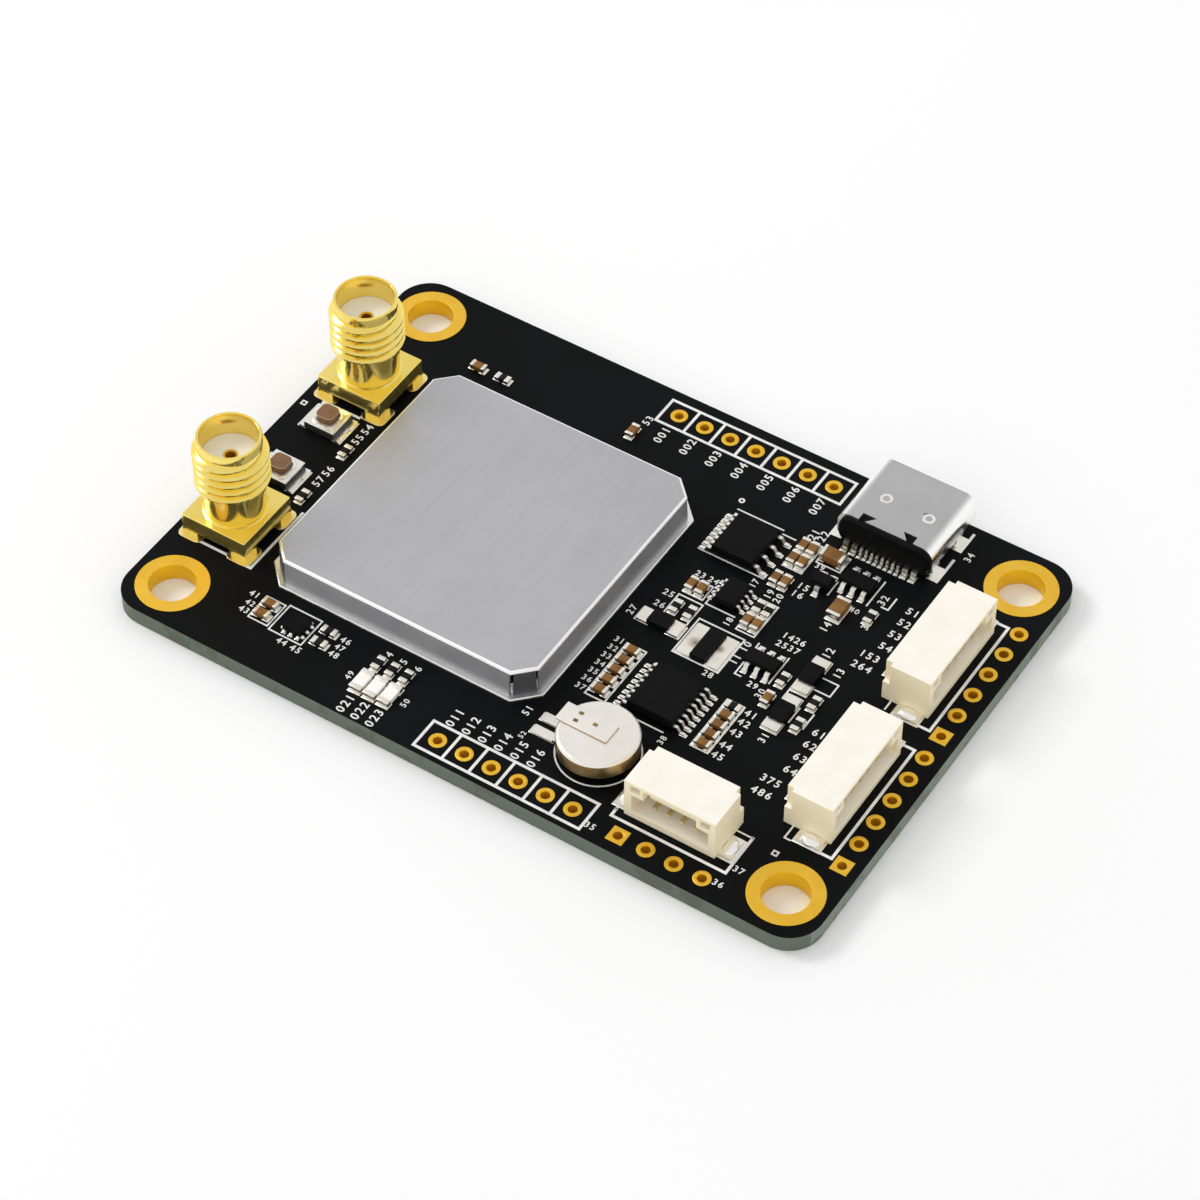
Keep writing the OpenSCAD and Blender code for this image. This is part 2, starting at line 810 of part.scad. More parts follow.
module button() {
    color("#7d5f41") {
        translate([0, 0, button_flange_z]) cylinder(d = button_flange_d, h = button_flange_t);
        translate([0, 0, button_flange_z]) {
            linear_extrude(height = switch_top + button_rise - button_flange_z) {
                rounded_rect(button_side, button_side, button_r);
            }
        }
    }
}

// One end terminal: a notched tongue on its pad, with a root under the base
module terminal() {
    reach = switch_w / 2 + terminal_reach;
    difference() {
        union() {
            terminal_root();
            translate([switch_w / 2, -switch_d / 2, 0]) cube([terminal_reach, switch_d, terminal_t]);
        }
        translate([reach - terminal_notch[0], -terminal_notch[1] / 2, -past]) {
            cube([terminal_notch[0] + past, terminal_notch[1], 2 * past]);
        }
    }
}

module terminal_root() {
    translate([switch_w / 2 - terminal_root_l, -switch_d / 4, 0]) {
        cube([terminal_root_l, switch_d / 2, terminal_t]);
    }
}

module switch_pads() {
    w = terminal_reach + 2 * pad_margin;
    for (end = [-1, 1]) {
        pad(end * (switch_w / 2 + terminal_reach + pad_margin - w / 2), 0, w, switch_d);
    }
}

module front_switch_base() {
    at_front_switch() switch_base();
}

module front_switch_cover() {
    at_front_switch() switch_cover();
}

module front_switch_dome() {
    at_front_switch() switch_dome();
}

module front_button() {
    at_front_switch() button();
}

module rear_switch_base() {
    at_rear_switch() switch_base();
}

module rear_switch_cover() {
    at_rear_switch() switch_cover();
}

module rear_switch_dome() {
    at_rear_switch() switch_dome();
}

module rear_button() {
    at_rear_switch() button();
}

module switch_terminals() {
    color(tin) {
        for (side = [0, 180]) {
            at_front_switch() rotate([0, 0, side]) terminal();
            at_rear_switch() rotate([0, 0, side]) terminal();
        }
    }
}

// USB socket, drawn with its middle at X zero and the shell's rear edge at Y zero
usb_rear = back + usb_overhang - usb_l;
usb_tongue_inset = 0.9;
usb_block_l = usb_l - usb_tongue_l - usb_tongue_inset;
usb_block_rear = 0.35;
usb_fit = 0.02;
usb_tail_reach = 1.1;
usb_tail_z = [0.4, 0.6];
usb_wide_tail = 0.5;
usb_tail_foot = 0.8;
usb_tongue_w = 6.7;
usb_leg_w = 1.1;
usb_leg_pad = 1.1;
usb_leg_pad_shift = 0.1;
usb_legs_y = [0.75, 4.7];
usb_dimple_d = 0.6;
usb_dimples = [[-1.95, 3.3], [1.95, 3.3]];
usb_notch_l = 0.8;
usb_notch_outer = 2.55;
usb_notch_tip = 1.95;
usb_notch_root = 1.25;
contact_strip_t = 0.08;
contact_strip_w = 0.25;
contact_pitch = 0.5;
contact_strip_n = 12;
contact_strip_setback = 0.4;

module at_usb() {
    translate([usb_x, usb_rear, board_t]) children();
}

module usb_tube(w, h, r, from, to) {
    translate([0, (from + to) / 2, usb_h / 2]) drawn_along_y(to - from) rounded_rect(w, h, r);
}

module usb_shell() {
    color("#b9b9b9") at_usb() difference() {
        union() {
            usb_tube(usb_w, usb_h, usb_r, 0, usb_l);
            for (x = [-1, 1], y = usb_legs_y) usb_shell_leg(x, y);
        }
        usb_tube(usb_w - 2 * usb_wall, usb_h - 2 * usb_wall, usb_r - usb_wall, -past, usb_l + past);
        for (side = [0, 1]) {
            mirror([side, 0, 0]) translate([0, 0, usb_h - usb_wall - past]) {
                linear_extrude(height = usb_wall + 2 * past) usb_notch_outline();
            }
        }
        for (d = usb_dimples) {
            translate([d[0], d[1], usb_h - usb_wall / 2]) cylinder(d = usb_dimple_d, h = usb_wall);
        }
    }
}

// Dovetail cut beside the rear tongue of the shell's top, which flares towards the rear edge
module usb_notch_outline() {
    polygon([
        [usb_notch_outer, -past], [usb_notch_tip, -past], [usb_notch_tip, 0],
        [usb_notch_root, usb_notch_l], [usb_notch_outer, usb_notch_l]
    ]);
}

module usb_shell_leg(side, y) {
    x = side > 0 ? usb_w / 2 - usb_wall : -usb_w / 2;
    translate([x, y - usb_leg_w / 2, plating_t]) cube([usb_wall, usb_leg_w, usb_h / 2]);
}

module usb_housing() {
    w = usb_w - 2 * usb_wall - 2 * usb_fit;
    h = usb_h - 2 * usb_wall - 2 * usb_fit;
    color("#191a1b") at_usb() {
        usb_tube(w, h, usb_r - usb_wall - usb_fit, -usb_block_rear, usb_block_l);
        translate([-usb_tongue_w / 2, usb_block_l - bite, (usb_h - usb_tongue_t) / 2]) {
            cube([usb_tongue_w, usb_tongue_l + bite, usb_tongue_t]);
        }
    }
}

module usb_contacts() {
    color("#d4b45a") at_usb() {
        for (x = usb_wide_tails) translate([x, 0, 0]) usb_tail(usb_wide_tail);
        in_row(usb_narrow_n, contact_pitch) usb_tail(contact_strip_w);
        in_row(contact_strip_n, contact_pitch) {
            for (z = [(usb_h - usb_tongue_t) / 2 - contact_strip_t, (usb_h + usb_tongue_t) / 2]) {
                translate([-contact_strip_w / 2, usb_block_l, z]) {
                    cube([contact_strip_w, usb_tongue_l - contact_strip_setback, contact_strip_t]);
                }
            }
        }
    }
}

module usb_tail(w) {
    translate([0, -usb_block_rear, plating_t]) rotate([0, 0, -90]) {
        gull_lead(0, usb_tail_reach - usb_block_rear, usb_tail_z[0], usb_tail_z[1], w);
    }
}

module usb_pads() {
    y_tail = usb_tail_foot / 2 - usb_tail_reach - pad_margin;
    for (x = usb_wide_tails) pad(x, y_tail, usb_wide_tail + 2 * pad_side, usb_tail_foot);
    in_row(usb_narrow_n, contact_pitch) pad(0, y_tail, contact_strip_w + 2 * pad_side, usb_tail_foot);
    for (side = [-1, 1], y = usb_legs_y) {
        pad(side * (usb_w / 2 + usb_leg_pad_shift), y, usb_leg_pad, usb_leg_w + 4 * pad_margin);
    }
}

// Wire sockets, drawn with the mouth at Y zero facing -Y and the board's top at Z zero
port_back_wall = 0.95;
port_cavity_d = port_d - port_back_wall;
port_shelf_z = 2;
port_recess_d = 1;
port_bar = [2.65, 3.05];
port_post = [1.4, 1.75];
port_window_wall = 0.5;
port_window_d = 1.2;
port_step = [0.4, 0.6, 1.9];
port_pin = 0.35;
port_pin_z = 1.2;
port_pin_tip = 0.8;
port_tail_reach = 0.95;
port_tab_t = 0.25;
port_tab_reach = 1.15;
port_tab_y = [0.4, 2.6];
port_lug_y = [0.8, 2.2];
port_lug_x = [0.15, 0.4];
port_lug_h = 1.3;
port_pad = [0.6, 0.7];
// Length of a housing past the middles of its outer pins, both ends together
port_ends = 4.5;
tab_top = plating_t + port_tab_t;

function port_length(n) = port_pitch * (n - 1) + port_ends;

module at_side_port(y) {
    translate([right - side_port_inset, y, 0]) rotate([0, 0, 90]) children();
}

module at_corner_port() {
    translate([corner_port_x, front + corner_port_inset, 0]) children();
}

// A block from corner to corner, as two lists of X, Y and Z
module span(low, high) {
    translate(low) cube(high - low);
}

module port_housing(n) {
    end = port_length(n) / 2;
    top = port_h - port_roof;
    color(cream) translate([0, 0, board_t]) difference() {
        span([-end, 0, 0], [end, port_d, port_h]);
        span([port_wall - end, -past, port_floor], [end - port_wall, port_cavity_d, port_shelf_z]);
        span([port_post[1] - end, -past, port_shelf_z - past], [end - port_post[1], port_recess_d, top]);
        for (side = [0, 1]) {
            mirror([side, 0, 0]) {
                span([end - port_post[1], -past, port_shelf_z - past],
                    [end - port_wall, port_cavity_d, port_bar[0]]);
                span([end - port_post[0], -past, port_bar[1]], [end - port_window_wall, port_window_d, top]);
                span([end - port_step[0], port_d - port_step[1], port_step[2]],
                    [end + past, port_d + past, port_h + past]);
                span([end - port_lug_x[1], port_lug_y[0], -past], [end + past, port_lug_y[1], tab_top]);
                span([end - port_lug_x[1], port_lug_y[0], -past],
                    [end - port_lug_x[0], port_lug_y[1], port_lug_h]);
            }
        }
        in_row(n, port_pitch) port_pin_blank(port_cavity_d - past, port_d + past);
    }
}

module port_pin_blank(from, to) {
    span([-port_pin / 2, from, port_pin_z - port_pin / 2], [port_pin / 2, to, port_pin_z + port_pin / 2]);
}

module port_contacts(n) {
    drop = port_pin_z - port_pin / 2 - plating_t;
    color("#cdaa4c") translate([0, 0, board_t]) in_row(n, port_pitch) {
        port_pin_blank(port_pin_tip, port_d);
        translate([0, port_d, plating_t]) rotate([0, 0, 90]) {
            gull_lead(0, port_tail_reach, drop, drop + port_pin, port_pin);
        }
    }
}

module port_tabs(n) {
    end = port_length(n) / 2;
    color(tin) translate([0, 0, board_t]) {
        for (side = [0, 1]) {
            mirror([side, 0, 0]) {
                span([end, port_tab_y[0], plating_t], [end + port_tab_reach, port_tab_y[1], tab_top]);
                span([end - port_lug_x[1], port_lug_y[0], plating_t], [end + bite, port_lug_y[1], tab_top]);
                span([end - port_lug_x[1], port_lug_y[0], plating_t],
                    [end - port_lug_x[0], port_lug_y[1], port_lug_h]);
            }
        }
    }
}

module port_pads(n) {
    end = port_length(n) / 2;
    w = port_tab_reach + pad_margin;
    for (side = [-1, 1]) {
        pad(side * (end + w / 2), (port_tab_y[0] + port_tab_y[1]) / 2, w,
            port_tab_y[1] - port_tab_y[0] + 2 * pad_margin);
    }
    in_row(n, port_pitch) {
        pad(0, port_d + port_tail_reach + pad_margin - port_pad[1] / 2, port_pad[0], port_pad[1]);
    }
}

module rear_port_housing() {
    at_side_port(rear_port_y) port_housing(side_port_n);
}

module rear_port_contacts() {
    at_side_port(rear_port_y) port_contacts(side_port_n);
}

module rear_port_tabs() {
    at_side_port(rear_port_y) port_tabs(side_port_n);
}

module front_port_housing() {
    at_side_port(front_port_y) port_housing(side_port_n);
}

module front_port_contacts() {
    at_side_port(front_port_y) port_contacts(side_port_n);
}

module front_port_tabs() {
    at_side_port(front_port_y) port_tabs(side_port_n);
}

module corner_port_housing() {
    at_corner_port() port_housing(corner_port_n);
}

module corner_port_contacts() {
    at_corner_port() port_contacts(corner_port_n);
}

module corner_port_tabs() {
    at_corner_port() port_tabs(corner_port_n);
}

// Coin cell, drawn about its axis with the board's top at zero
cell_r = cell_dia / 2;
cell_top = cell_gap + cell_t;
cell_edge = 0.22;
cell_crimp = [0.45, 0.35];
cell_tab_end = 1.1;
cell_tab_clear = 0.1;
cell_leg_w = 0.9;
cell_tab_y = 0.35;
cell_foot_end = 5.7;
cell_low_y = -0.67;

module at_cell() {
    translate([cell_x, cell_y, board_t]) children();
}

module coin_cell() {
    color("#d9d4c8") at_cell() rotate_extrude() polygon([
        [0, cell_gap], [cell_r - cell_crimp[0] - cell_edge, cell_gap],
        [cell_r - cell_crimp[0], cell_gap + cell_edge], [cell_r - cell_crimp[0], cell_gap + cell_crimp[1]],
        [cell_r, cell_gap + cell_crimp[1] + cell_edge], [cell_r, cell_top - cell_edge],
        [cell_r - cell_edge, cell_top], [0, cell_top]
    ]);
}

module cell_top_tab() {
    outer = cell_r + cell_tab_clear + cell_tab_t;
    color("#dcd8d0") at_cell() {
        span([-outer, cell_tab_y - cell_tab_w / 2, cell_top],
            [cell_tab_end, cell_tab_y + cell_tab_w / 2, cell_top + cell_tab_t]);
        span([-outer, cell_tab_y, plating_t],
            [cell_tab_t - outer, cell_tab_y + cell_leg_w, cell_top + cell_tab_t]);
        span([-cell_foot_end, cell_tab_y, plating_t],
            [cell_tab_t - outer, cell_tab_y + cell_leg_w, plating_t + cell_tab_t]);
    }
}

module cell_bottom_tab() {
    outer = cell_r + cell_tab_clear + cell_tab_t;
    low = cell_low_y - cell_leg_w / 2;
    color("#dcd8d0") at_cell() {
        span([-outer, low, cell_gap - cell_tab_t], [cell_tab_end, low + cell_leg_w, cell_gap]);
        span([-outer, low, plating_t], [cell_tab_t - outer, low + cell_leg_w, cell_gap]);
        span([-cell_foot_end, low, plating_t],
            [cell_tab_t - outer, low + cell_leg_w, plating_t + cell_tab_t]);
    }
}

module cell_pads() {
    inner = cell_r + cell_tab_clear;
    w = cell_foot_end + pad_margin - inner;
    for (y = [cell_tab_y + cell_leg_w / 2, cell_low_y]) {
        pad(-cell_foot_end - pad_margin + w / 2, y, w, cell_leg_w);
    }
}

// Chips with gull leads, drawn with the pads' top at zero and the leads along X
chip_gap = 0.1;
body_draft = 0.1;
// Shares of a lead's reach that its shoulder and its foot take, and the thinning at its bends
lead_shoulder = 0.25;
lead_flat = 0.5;
lead_bend = 0.7;

function lead_exit(chip) = (chip[1][2] - lead_t) / 2;
function lead_foot(chip) = lead_flat * (chip[5] - chip[1][0] / 2);

module at_chip(chip, turn) {
    translate([chip[0][0], chip[0][1], 0]) rotate([0, 0, turn]) children();
}

// A moulded body whose walls lean in above and below the band that the leads leave
module moulded_body(chip, turn) {
    low = lead_exit(chip);
    color(black_resin) translate([0, 0, seat]) at_chip(chip, turn) intersection() {
        drawn_along_y(2 * chip[1][1]) moulded_outline(chip[1][0], chip[1][2], low);
        rotate([0, 0, 90]) drawn_along_y(2 * chip[1][0]) moulded_outline(chip[1][1], chip[1][2], low);
    }
}

module moulded_outline(w, h, low) {
    polygon([
        [body_draft - w / 2, chip_gap], [w / 2 - body_draft, chip_gap], [w / 2, low], [w / 2, low + lead_t],
        [w / 2 - body_draft, h], [body_draft - w / 2, h], [-w / 2, low + lead_t], [-w / 2, low]
    ]);
}

// One bent lead from a body's face to its tip, w wide, leaving the body between low and high
module gull_lead(face, tip, low, high, w) {
    t = high - low;
    reach = tip - face;
    foot_t = min(t, lead_t);
    shoulder = face + reach * lead_shoulder;
    heel = tip - reach * lead_flat;
    drawn_along_y(w) polygon([
        [face, low], [shoulder, low], [heel, 0], [tip, 0], [tip, foot_t],
        [heel + foot_t * lead_bend, foot_t], [shoulder + foot_t * lead_bend, high], [face, high]
    ]);
}

module chip_leads(chip, turn) {
    for (side = [0, 1]) {
        at_chip(chip, turn + 180 * side) rotate([0, 0, 90]) in_row(chip[2][side], chip[3][side]) {
            rotate([0, 0, -90]) {
                gull_lead(chip[1][0] / 2, chip[5], lead_exit(chip), lead_exit(chip) + lead_t, chip[4]);
            }
        }
    }
}

module line_driver_body() {
    moulded_body(line_driver, 0);
}

module line_driver_leads() {
    color(tin) translate([0, 0, seat]) chip_leads(line_driver, 0);
}

module bus_buffer_body() {
    moulded_body(bus_buffer, 0);
}

module bus_buffer_leads() {
    color(tin) translate([0, 0, seat]) chip_leads(bus_buffer, 0);
}

module serial_converter_body() {
    moulded_body(serial_converter, 0);
}

module serial_converter_leads() {
    color(tin) translate([0, 0, seat]) chip_leads(serial_converter, 0);
}

module buck_regulator_body() {
    moulded_body(buck_regulator, 90);
}

module linear_regulator_body() {
    moulded_body(linear_regulator, 90);
}

module transistor_body() {
    moulded_body(transistor, 90);
}

module small_package_leads() {
    color(tin) translate([0, 0, seat]) {
        chip_leads(buck_regulator, 90);
        chip_leads(linear_regulator, 90);
        chip_leads(transistor, 90);
    }
}

// A leadless chip on six short pads
module logic_chip() {
    color(black_resin) translate([logic_chip_place[0], logic_chip_place[1], seat]) {
        leaning_block(logic_chip_size[0], logic_chip_size[1], logic_chip_size[2], 0);
    }
}

module logic_pads() {
    for (side = [0, 180]) {
        rotate([0, 0, side]) in_row(logic_pad_n, logic_pitch) {
            pad(0, logic_chip_size[1] / 2, logic_pad[0], logic_pad[1]);
        }
    }
}

// Chip parts: a body between two tinned ends
chip_cap = 0.3;
resistor_cap = 0.42;
big_cap = 0.32;
diode_cap = 1.05;
inductor_cap = 1.2;
lamp_cap = 0.45;
cap_wrap = 0.02;

module at_places(places) {
    for (p = places) {
        translate([p[0], p[1], seat]) rotate([0, 0, p[2]]) children();
    }
}

module chip_body(size, cap) {
    translate([cap - size[0] / 2, -size[1] / 2, 0]) cube([size[0] - 2 * cap, size[1], size[2]]);
}

module chip_ends(size, cap) {
    wide = size[1] + 2 * cap_wrap;
    for (x = [-size[0] / 2, size[0] / 2 - cap]) {
        translate([x, -wide / 2, 0]) cube([cap, wide, size[2] + cap_wrap]);
    }
}

module capacitor_bodies() {
    color("#8c5f2a") {
        at_places(capacitor_places) chip_body(chip_size, chip_cap);
        at_places(big_capacitor_places) chip_body(big_chip_size, big_cap);
    }
}

module resistor_bodies() {
    color("#26272a") at_places(resistor_places) chip_body(resistor_size, resistor_cap);
}

module diode_bodies() {
    color(black_resin) at_places(diode_places) chip_body(diode_size, diode_cap);
}

module inductor_body() {
    color("#232326") at_places([concat(inductor_place, [0])]) chip_body(inductor_size, inductor_cap);
}

module lamp_bodies() {
    color("#f2f0e8") at_places(lamp_places) chip_body(lamp_size, lamp_cap);
}

module chip_end_caps() {
    color(tin) {
        at_places(capacitor_places) chip_ends(chip_size, chip_cap);
        at_places(big_capacitor_places) chip_ends(big_chip_size, big_cap);
        at_places(resistor_places) chip_ends(resistor_size, resistor_cap);
        at_places(diode_places) chip_ends(diode_plates, diode_cap);
        at_places(lamp_places) chip_ends(lamp_size, lamp_cap);
        at_places([concat(inductor_place, [0])]) chip_ends(inductor_plates, inductor_cap);
    }
}

circuit_board();
mounting_hole_plating();
header_hole_plating();
solder_pads();
shield_frame();
shield_lid();
receiver_processor();
radio_front_ends();
reference_oscillator();
band_filters();
flash_memory();
front_jack_body();
front_jack_insulator();
front_jack_contact();
rear_jack_body();
rear_jack_insulator();
rear_jack_contact();
front_switch_base();
front_switch_cover();
front_switch_dome();
front_button();
rear_switch_base();
rear_switch_cover();
rear_switch_dome();
rear_button();
switch_terminals();
usb_shell();
usb_housing();
usb_contacts();
rear_port_housing();
rear_port_contacts();
rear_port_tabs();
front_port_housing();
front_port_contacts();
front_port_tabs();
corner_port_housing();
corner_port_contacts();
corner_port_tabs();
coin_cell();
cell_top_tab();
cell_bottom_tab();
line_driver_body();
line_driver_leads();
bus_buffer_body();
bus_buffer_leads();
serial_converter_body();
serial_converter_leads();
buck_regulator_body();
linear_regulator_body();
transistor_body();
small_package_leads();
logic_chip();
capacitor_bodies();
resistor_bodies();
diode_bodies();
inductor_body();
lamp_bodies();
chip_end_caps();
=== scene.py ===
import math

import bmesh
import bpy
from mathutils import Matrix, Vector


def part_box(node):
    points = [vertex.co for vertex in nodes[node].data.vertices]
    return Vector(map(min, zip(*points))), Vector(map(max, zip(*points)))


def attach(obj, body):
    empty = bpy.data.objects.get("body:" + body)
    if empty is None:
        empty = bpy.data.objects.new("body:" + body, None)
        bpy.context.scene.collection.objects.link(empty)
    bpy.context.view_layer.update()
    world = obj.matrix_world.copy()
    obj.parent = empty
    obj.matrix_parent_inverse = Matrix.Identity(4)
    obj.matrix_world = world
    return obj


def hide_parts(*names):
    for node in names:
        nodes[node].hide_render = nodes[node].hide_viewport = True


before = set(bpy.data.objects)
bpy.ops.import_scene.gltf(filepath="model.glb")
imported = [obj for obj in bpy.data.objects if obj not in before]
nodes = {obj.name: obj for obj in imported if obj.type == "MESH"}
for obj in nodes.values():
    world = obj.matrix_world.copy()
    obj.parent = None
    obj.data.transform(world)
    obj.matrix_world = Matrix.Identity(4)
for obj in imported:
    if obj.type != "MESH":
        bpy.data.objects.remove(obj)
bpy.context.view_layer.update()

# Bare board: glass and epoxy laminate, 1.6 mm, under a near-black solder mask.
# The routed edge shows the greenish grey laminate; all other parts are soldered to its top.
MM = 0.001


def tone(red, green, blue):
    """A linear colour for a shader socket from 0 to 255 screen values."""
    linear = []
    for value in (red, green, blue):
        share = value / 255
        linear.append(share / 12.92 if share <= 0.04045 else ((share + 0.055) / 1.055) ** 2.4)
    return (*linear, 1.0)


def new_group(name, inputs, outputs):
    """An empty shader group with named sockets, and its two end nodes."""
    tree = bpy.data.node_groups.new(name, "ShaderNodeTree")
    for label, kind, value in inputs:
        socket = tree.interface.new_socket(label, in_out="INPUT", socket_type=kind)
        socket.default_value = value
    for label, kind in outputs:
        tree.interface.new_socket(label, in_out="OUTPUT", socket_type=kind)
    return tree, tree.nodes.new("NodeGroupInput"), tree.nodes.new("NodeGroupOutput")


def feed(tree, socket, term):
    """Sets a socket to a plain value or links another socket to it."""
    if isinstance(term, (int, float)):
        socket.default_value = term
    else:
        tree.links.new(term, socket)


def object_place(tree):
    """The place on the object, in metres, as a vector socket."""
    return tree.nodes.new("ShaderNodeTexCoord").outputs["Object"]


def noise(tree, vector, scale, detail):
    """A noise texture; its scale is a plain value or led in from a socket."""
    texture = tree.nodes.new("ShaderNodeTexNoise")
    texture.inputs["Detail"].default_value = detail
    tree.links.new(vector, texture.inputs["Vector"])
    feed(tree, texture.inputs["Scale"], scale)
    return texture.outputs["Fac"]


def remap(tree, value, low, high, to_low=0, to_high=1, kind="LINEAR"):
    """The result of a map range node on sockets or plain values."""
    made = tree.nodes.new("ShaderNodeMapRange")
    made.interpolation_type = kind
    terms = {"Value": value, "From Min": low, "From Max": high, "To Min": to_low, "To Max": to_high}
    for label, term in terms.items():
        feed(tree, made.inputs[label], term)
    return made.outputs["Result"]


FLOAT = "NodeSocketFloat"
COLOR = "NodeSocketColor"
NOISE_LOW, NOISE_HIGH = 0.35, 0.65

# Uneven surface: patches of tone, patches of sheen and a fine grain, in object space.
uneven, ends_in, ends_out = new_group(
    "uneven_surface",
    (
        ("Light Tone", COLOR, (0.8, 0.8, 0.8, 1)),
        ("Dark Tone", COLOR, (0.7, 0.7, 0.7, 1)),
        ("Tone Scale", FLOAT, 300),
        ("Smoothest", FLOAT, 0.3),
        ("Roughest", FLOAT, 0.5),
        ("Sheen Scale", FLOAT, 500),
        ("Grain Scale", FLOAT, 4000),
    ),
    (("Color", COLOR), ("Roughness", FLOAT), ("Height", FLOAT)),
)
place = object_place(uneven)
patches = noise(uneven, place, ends_in.outputs["Tone Scale"], 3)
smears = noise(uneven, place, ends_in.outputs["Sheen Scale"], 4)
bumps = noise(uneven, place, ends_in.outputs["Grain Scale"], 5)
blend = uneven.nodes.new("ShaderNodeMix")
blend.data_type = "RGBA"
uneven.links.new(remap(uneven, patches, NOISE_LOW, NOISE_HIGH), blend.inputs["Factor"])
uneven.links.new(ends_in.outputs["Light Tone"], blend.inputs["A"])
uneven.links.new(ends_in.outputs["Dark Tone"], blend.inputs["B"])
uneven.links.new(blend.outputs["Result"], ends_out.inputs["Color"])
limits = ends_in.outputs["Smoothest"], ends_in.outputs["Roughest"]
uneven.links.new(remap(uneven, smears, NOISE_LOW, NOISE_HIGH, *limits), ends_out.inputs["Roughness"])
uneven.links.new(bumps, ends_out.inputs["Height"])


def finish(name, light, dark, sheen, scales=(300, 500, 4000), relief=0.004, **sockets):
    """A material on the uneven surface; relief is the grain's depth in mm."""
    made = bpy.data.materials.new(name)
    made.use_nodes = True
    tree = made.node_tree
    shader = tree.nodes["Principled BSDF"]
    surface = tree.nodes.new("ShaderNodeGroup")
    surface.name = "surface"
    surface.node_tree = uneven
    surface.inputs["Light Tone"].default_value = tone(*light)
    surface.inputs["Dark Tone"].default_value = tone(*dark)
    surface.inputs["Smoothest"].default_value, surface.inputs["Roughest"].default_value = sheen
    for label, scale in zip(("Tone Scale", "Sheen Scale", "Grain Scale"), scales):
        surface.inputs[label].default_value = scale
    grain = tree.nodes.new("ShaderNodeBump")
    grain.name = "grain"
    grain.inputs["Distance"].default_value = relief * MM
    tree.links.new(surface.outputs["Color"], shader.inputs["Base Color"])
    tree.links.new(surface.outputs["Roughness"], shader.inputs["Roughness"])
    tree.links.new(surface.outputs["Height"], grain.inputs["Height"])
    tree.links.new(grain.outputs["Normal"], shader.inputs["Normal"])
    for label, value in sockets.items():
        shader.inputs[label.replace("_", " ")].default_value = value
    return made


def dress(material, *names):
    """Gives CAD pieces that stay as they are a material."""
    for name in names:
        for place in nodes[name].material_slots:
            place.material = material


def part_of(tree, vector, part):
    """One part, X, Y or Z, of a vector socket."""
    parts = tree.nodes.new("ShaderNodeSeparateXYZ")
    tree.links.new(vector, parts.inputs["Vector"])
    return parts.outputs[part]


def facing(tree, part, kind="True Normal"):
    """One part, X, Y or Z, of a surface's flat or smooth normal."""
    return part_of(tree, tree.nodes.new("ShaderNodeNewGeometry").outputs[kind], part)


def sums(tree, operation, *terms):
    """The result of a math node on sockets or plain values."""
    made = tree.nodes.new("ShaderNodeMath")
    made.operation = operation
    for socket, term in zip(made.inputs, terms):
        feed(tree, socket, term)
    return made.outputs["Value"]


def upright(tree, limit=0.5):
    """1 on faces that look up by less than a limit: walls, edges and undersides."""
    return sums(tree, "LESS_THAN", facing(tree, "Z"), limit)


def toward_x(tree):
    """1 on faces that look along +X."""
    return sums(tree, "GREATER_THAN", facing(tree, "X"), 0.9)


def recolour(material, factor, colour):
    """Mixes a second colour into a material where a factor is 1."""
    tree = material.node_tree
    mix = tree.nodes.new("ShaderNodeMix")
    mix.data_type = "RGBA"
    tree.links.new(factor, mix.inputs["Factor"])
    shader = tree.nodes["Principled BSDF"]
    tree.links.new(shader.inputs["Base Color"].links[0].from_socket, mix.inputs["A"])
    mix.inputs["B"].default_value = tone(*colour)
    tree.links.new(mix.outputs["Result"], shader.inputs["Base Color"])


board_mask = finish(
    "board_mask", (14, 15, 17), (9, 10, 11), (0.4, 0.52), scales=(90, 700, 5200), relief=0.006,
    Specular_IOR_Level=0.06,
)
tree = board_mask.node_tree
bare_edge = upright(tree)
weave_scale, weave_limit, weave_depth = 420, 0.54, 0.4
weave = noise(tree, object_place(tree), weave_scale, 6)
patchy = sums(tree, "MULTIPLY", sums(tree, "GREATER_THAN", weave, weave_limit), weave_depth)
recolour(board_mask, bare_edge, (104, 112, 100))
# Painted light: the board edge that faces +X is drawn lighter than the other edges.
recolour(board_mask, toward_x(tree), (128, 136, 124))
recolour(board_mask, sums(tree, "MULTIPLY", bare_edge, patchy), (84, 86, 72))
dress(board_mask, "circuit_board")

# Plating and pads: copper under gold at the screw holes, header holes and jack feet.
# The pads of the other parts are wet with solder and read as bright tin.
gold_plate = finish(
    "gold_plate", (243, 198, 74), (235, 187, 60), (0.4, 0.55), scales=(400, 900, 6000), Metallic=1.0
)
# Painted shade: the walls and hole barrels of the plating are drawn a more saturated gold than its flat
# tops.
recolour(gold_plate, upright(gold_plate.node_tree), (248, 208, 52))
pale_gold = finish(
    "pale_gold", (252, 234, 172), (246, 222, 150), (0.24, 0.36), scales=(600, 900, 6000), relief=0.002,
    Metallic=1.0,
)
tin = finish(
    "tin", (249, 246, 239), (242, 238, 229), (0.27, 0.36), scales=(700, 1200, 5000), relief=0.001,
    Metallic=1.0,
)
MERGE = 1e-6
BOARD = "board"


def piece(name, bm, material, body=BOARD, stands_for=(), sharp=35):
    """An object of a finished bmesh, smooth up to an angle, on a body of the frame."""
    mesh = bpy.data.meshes.new(name)
    bm.to_mesh(mesh)
    bm.free()
    mesh.materials.append(material)
    mesh.shade_smooth()
    mesh.set_sharp_from_angle(angle=math.radians(sharp))
    made = bpy.data.objects.new(name, mesh)
    bpy.context.scene.collection.objects.link(made)
    even = made.modifiers.new("even_shading", "WEIGHTED_NORMAL")
    even.keep_sharp = True
    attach(made, body)
    if stands_for:
        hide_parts(*stands_for)
    return made


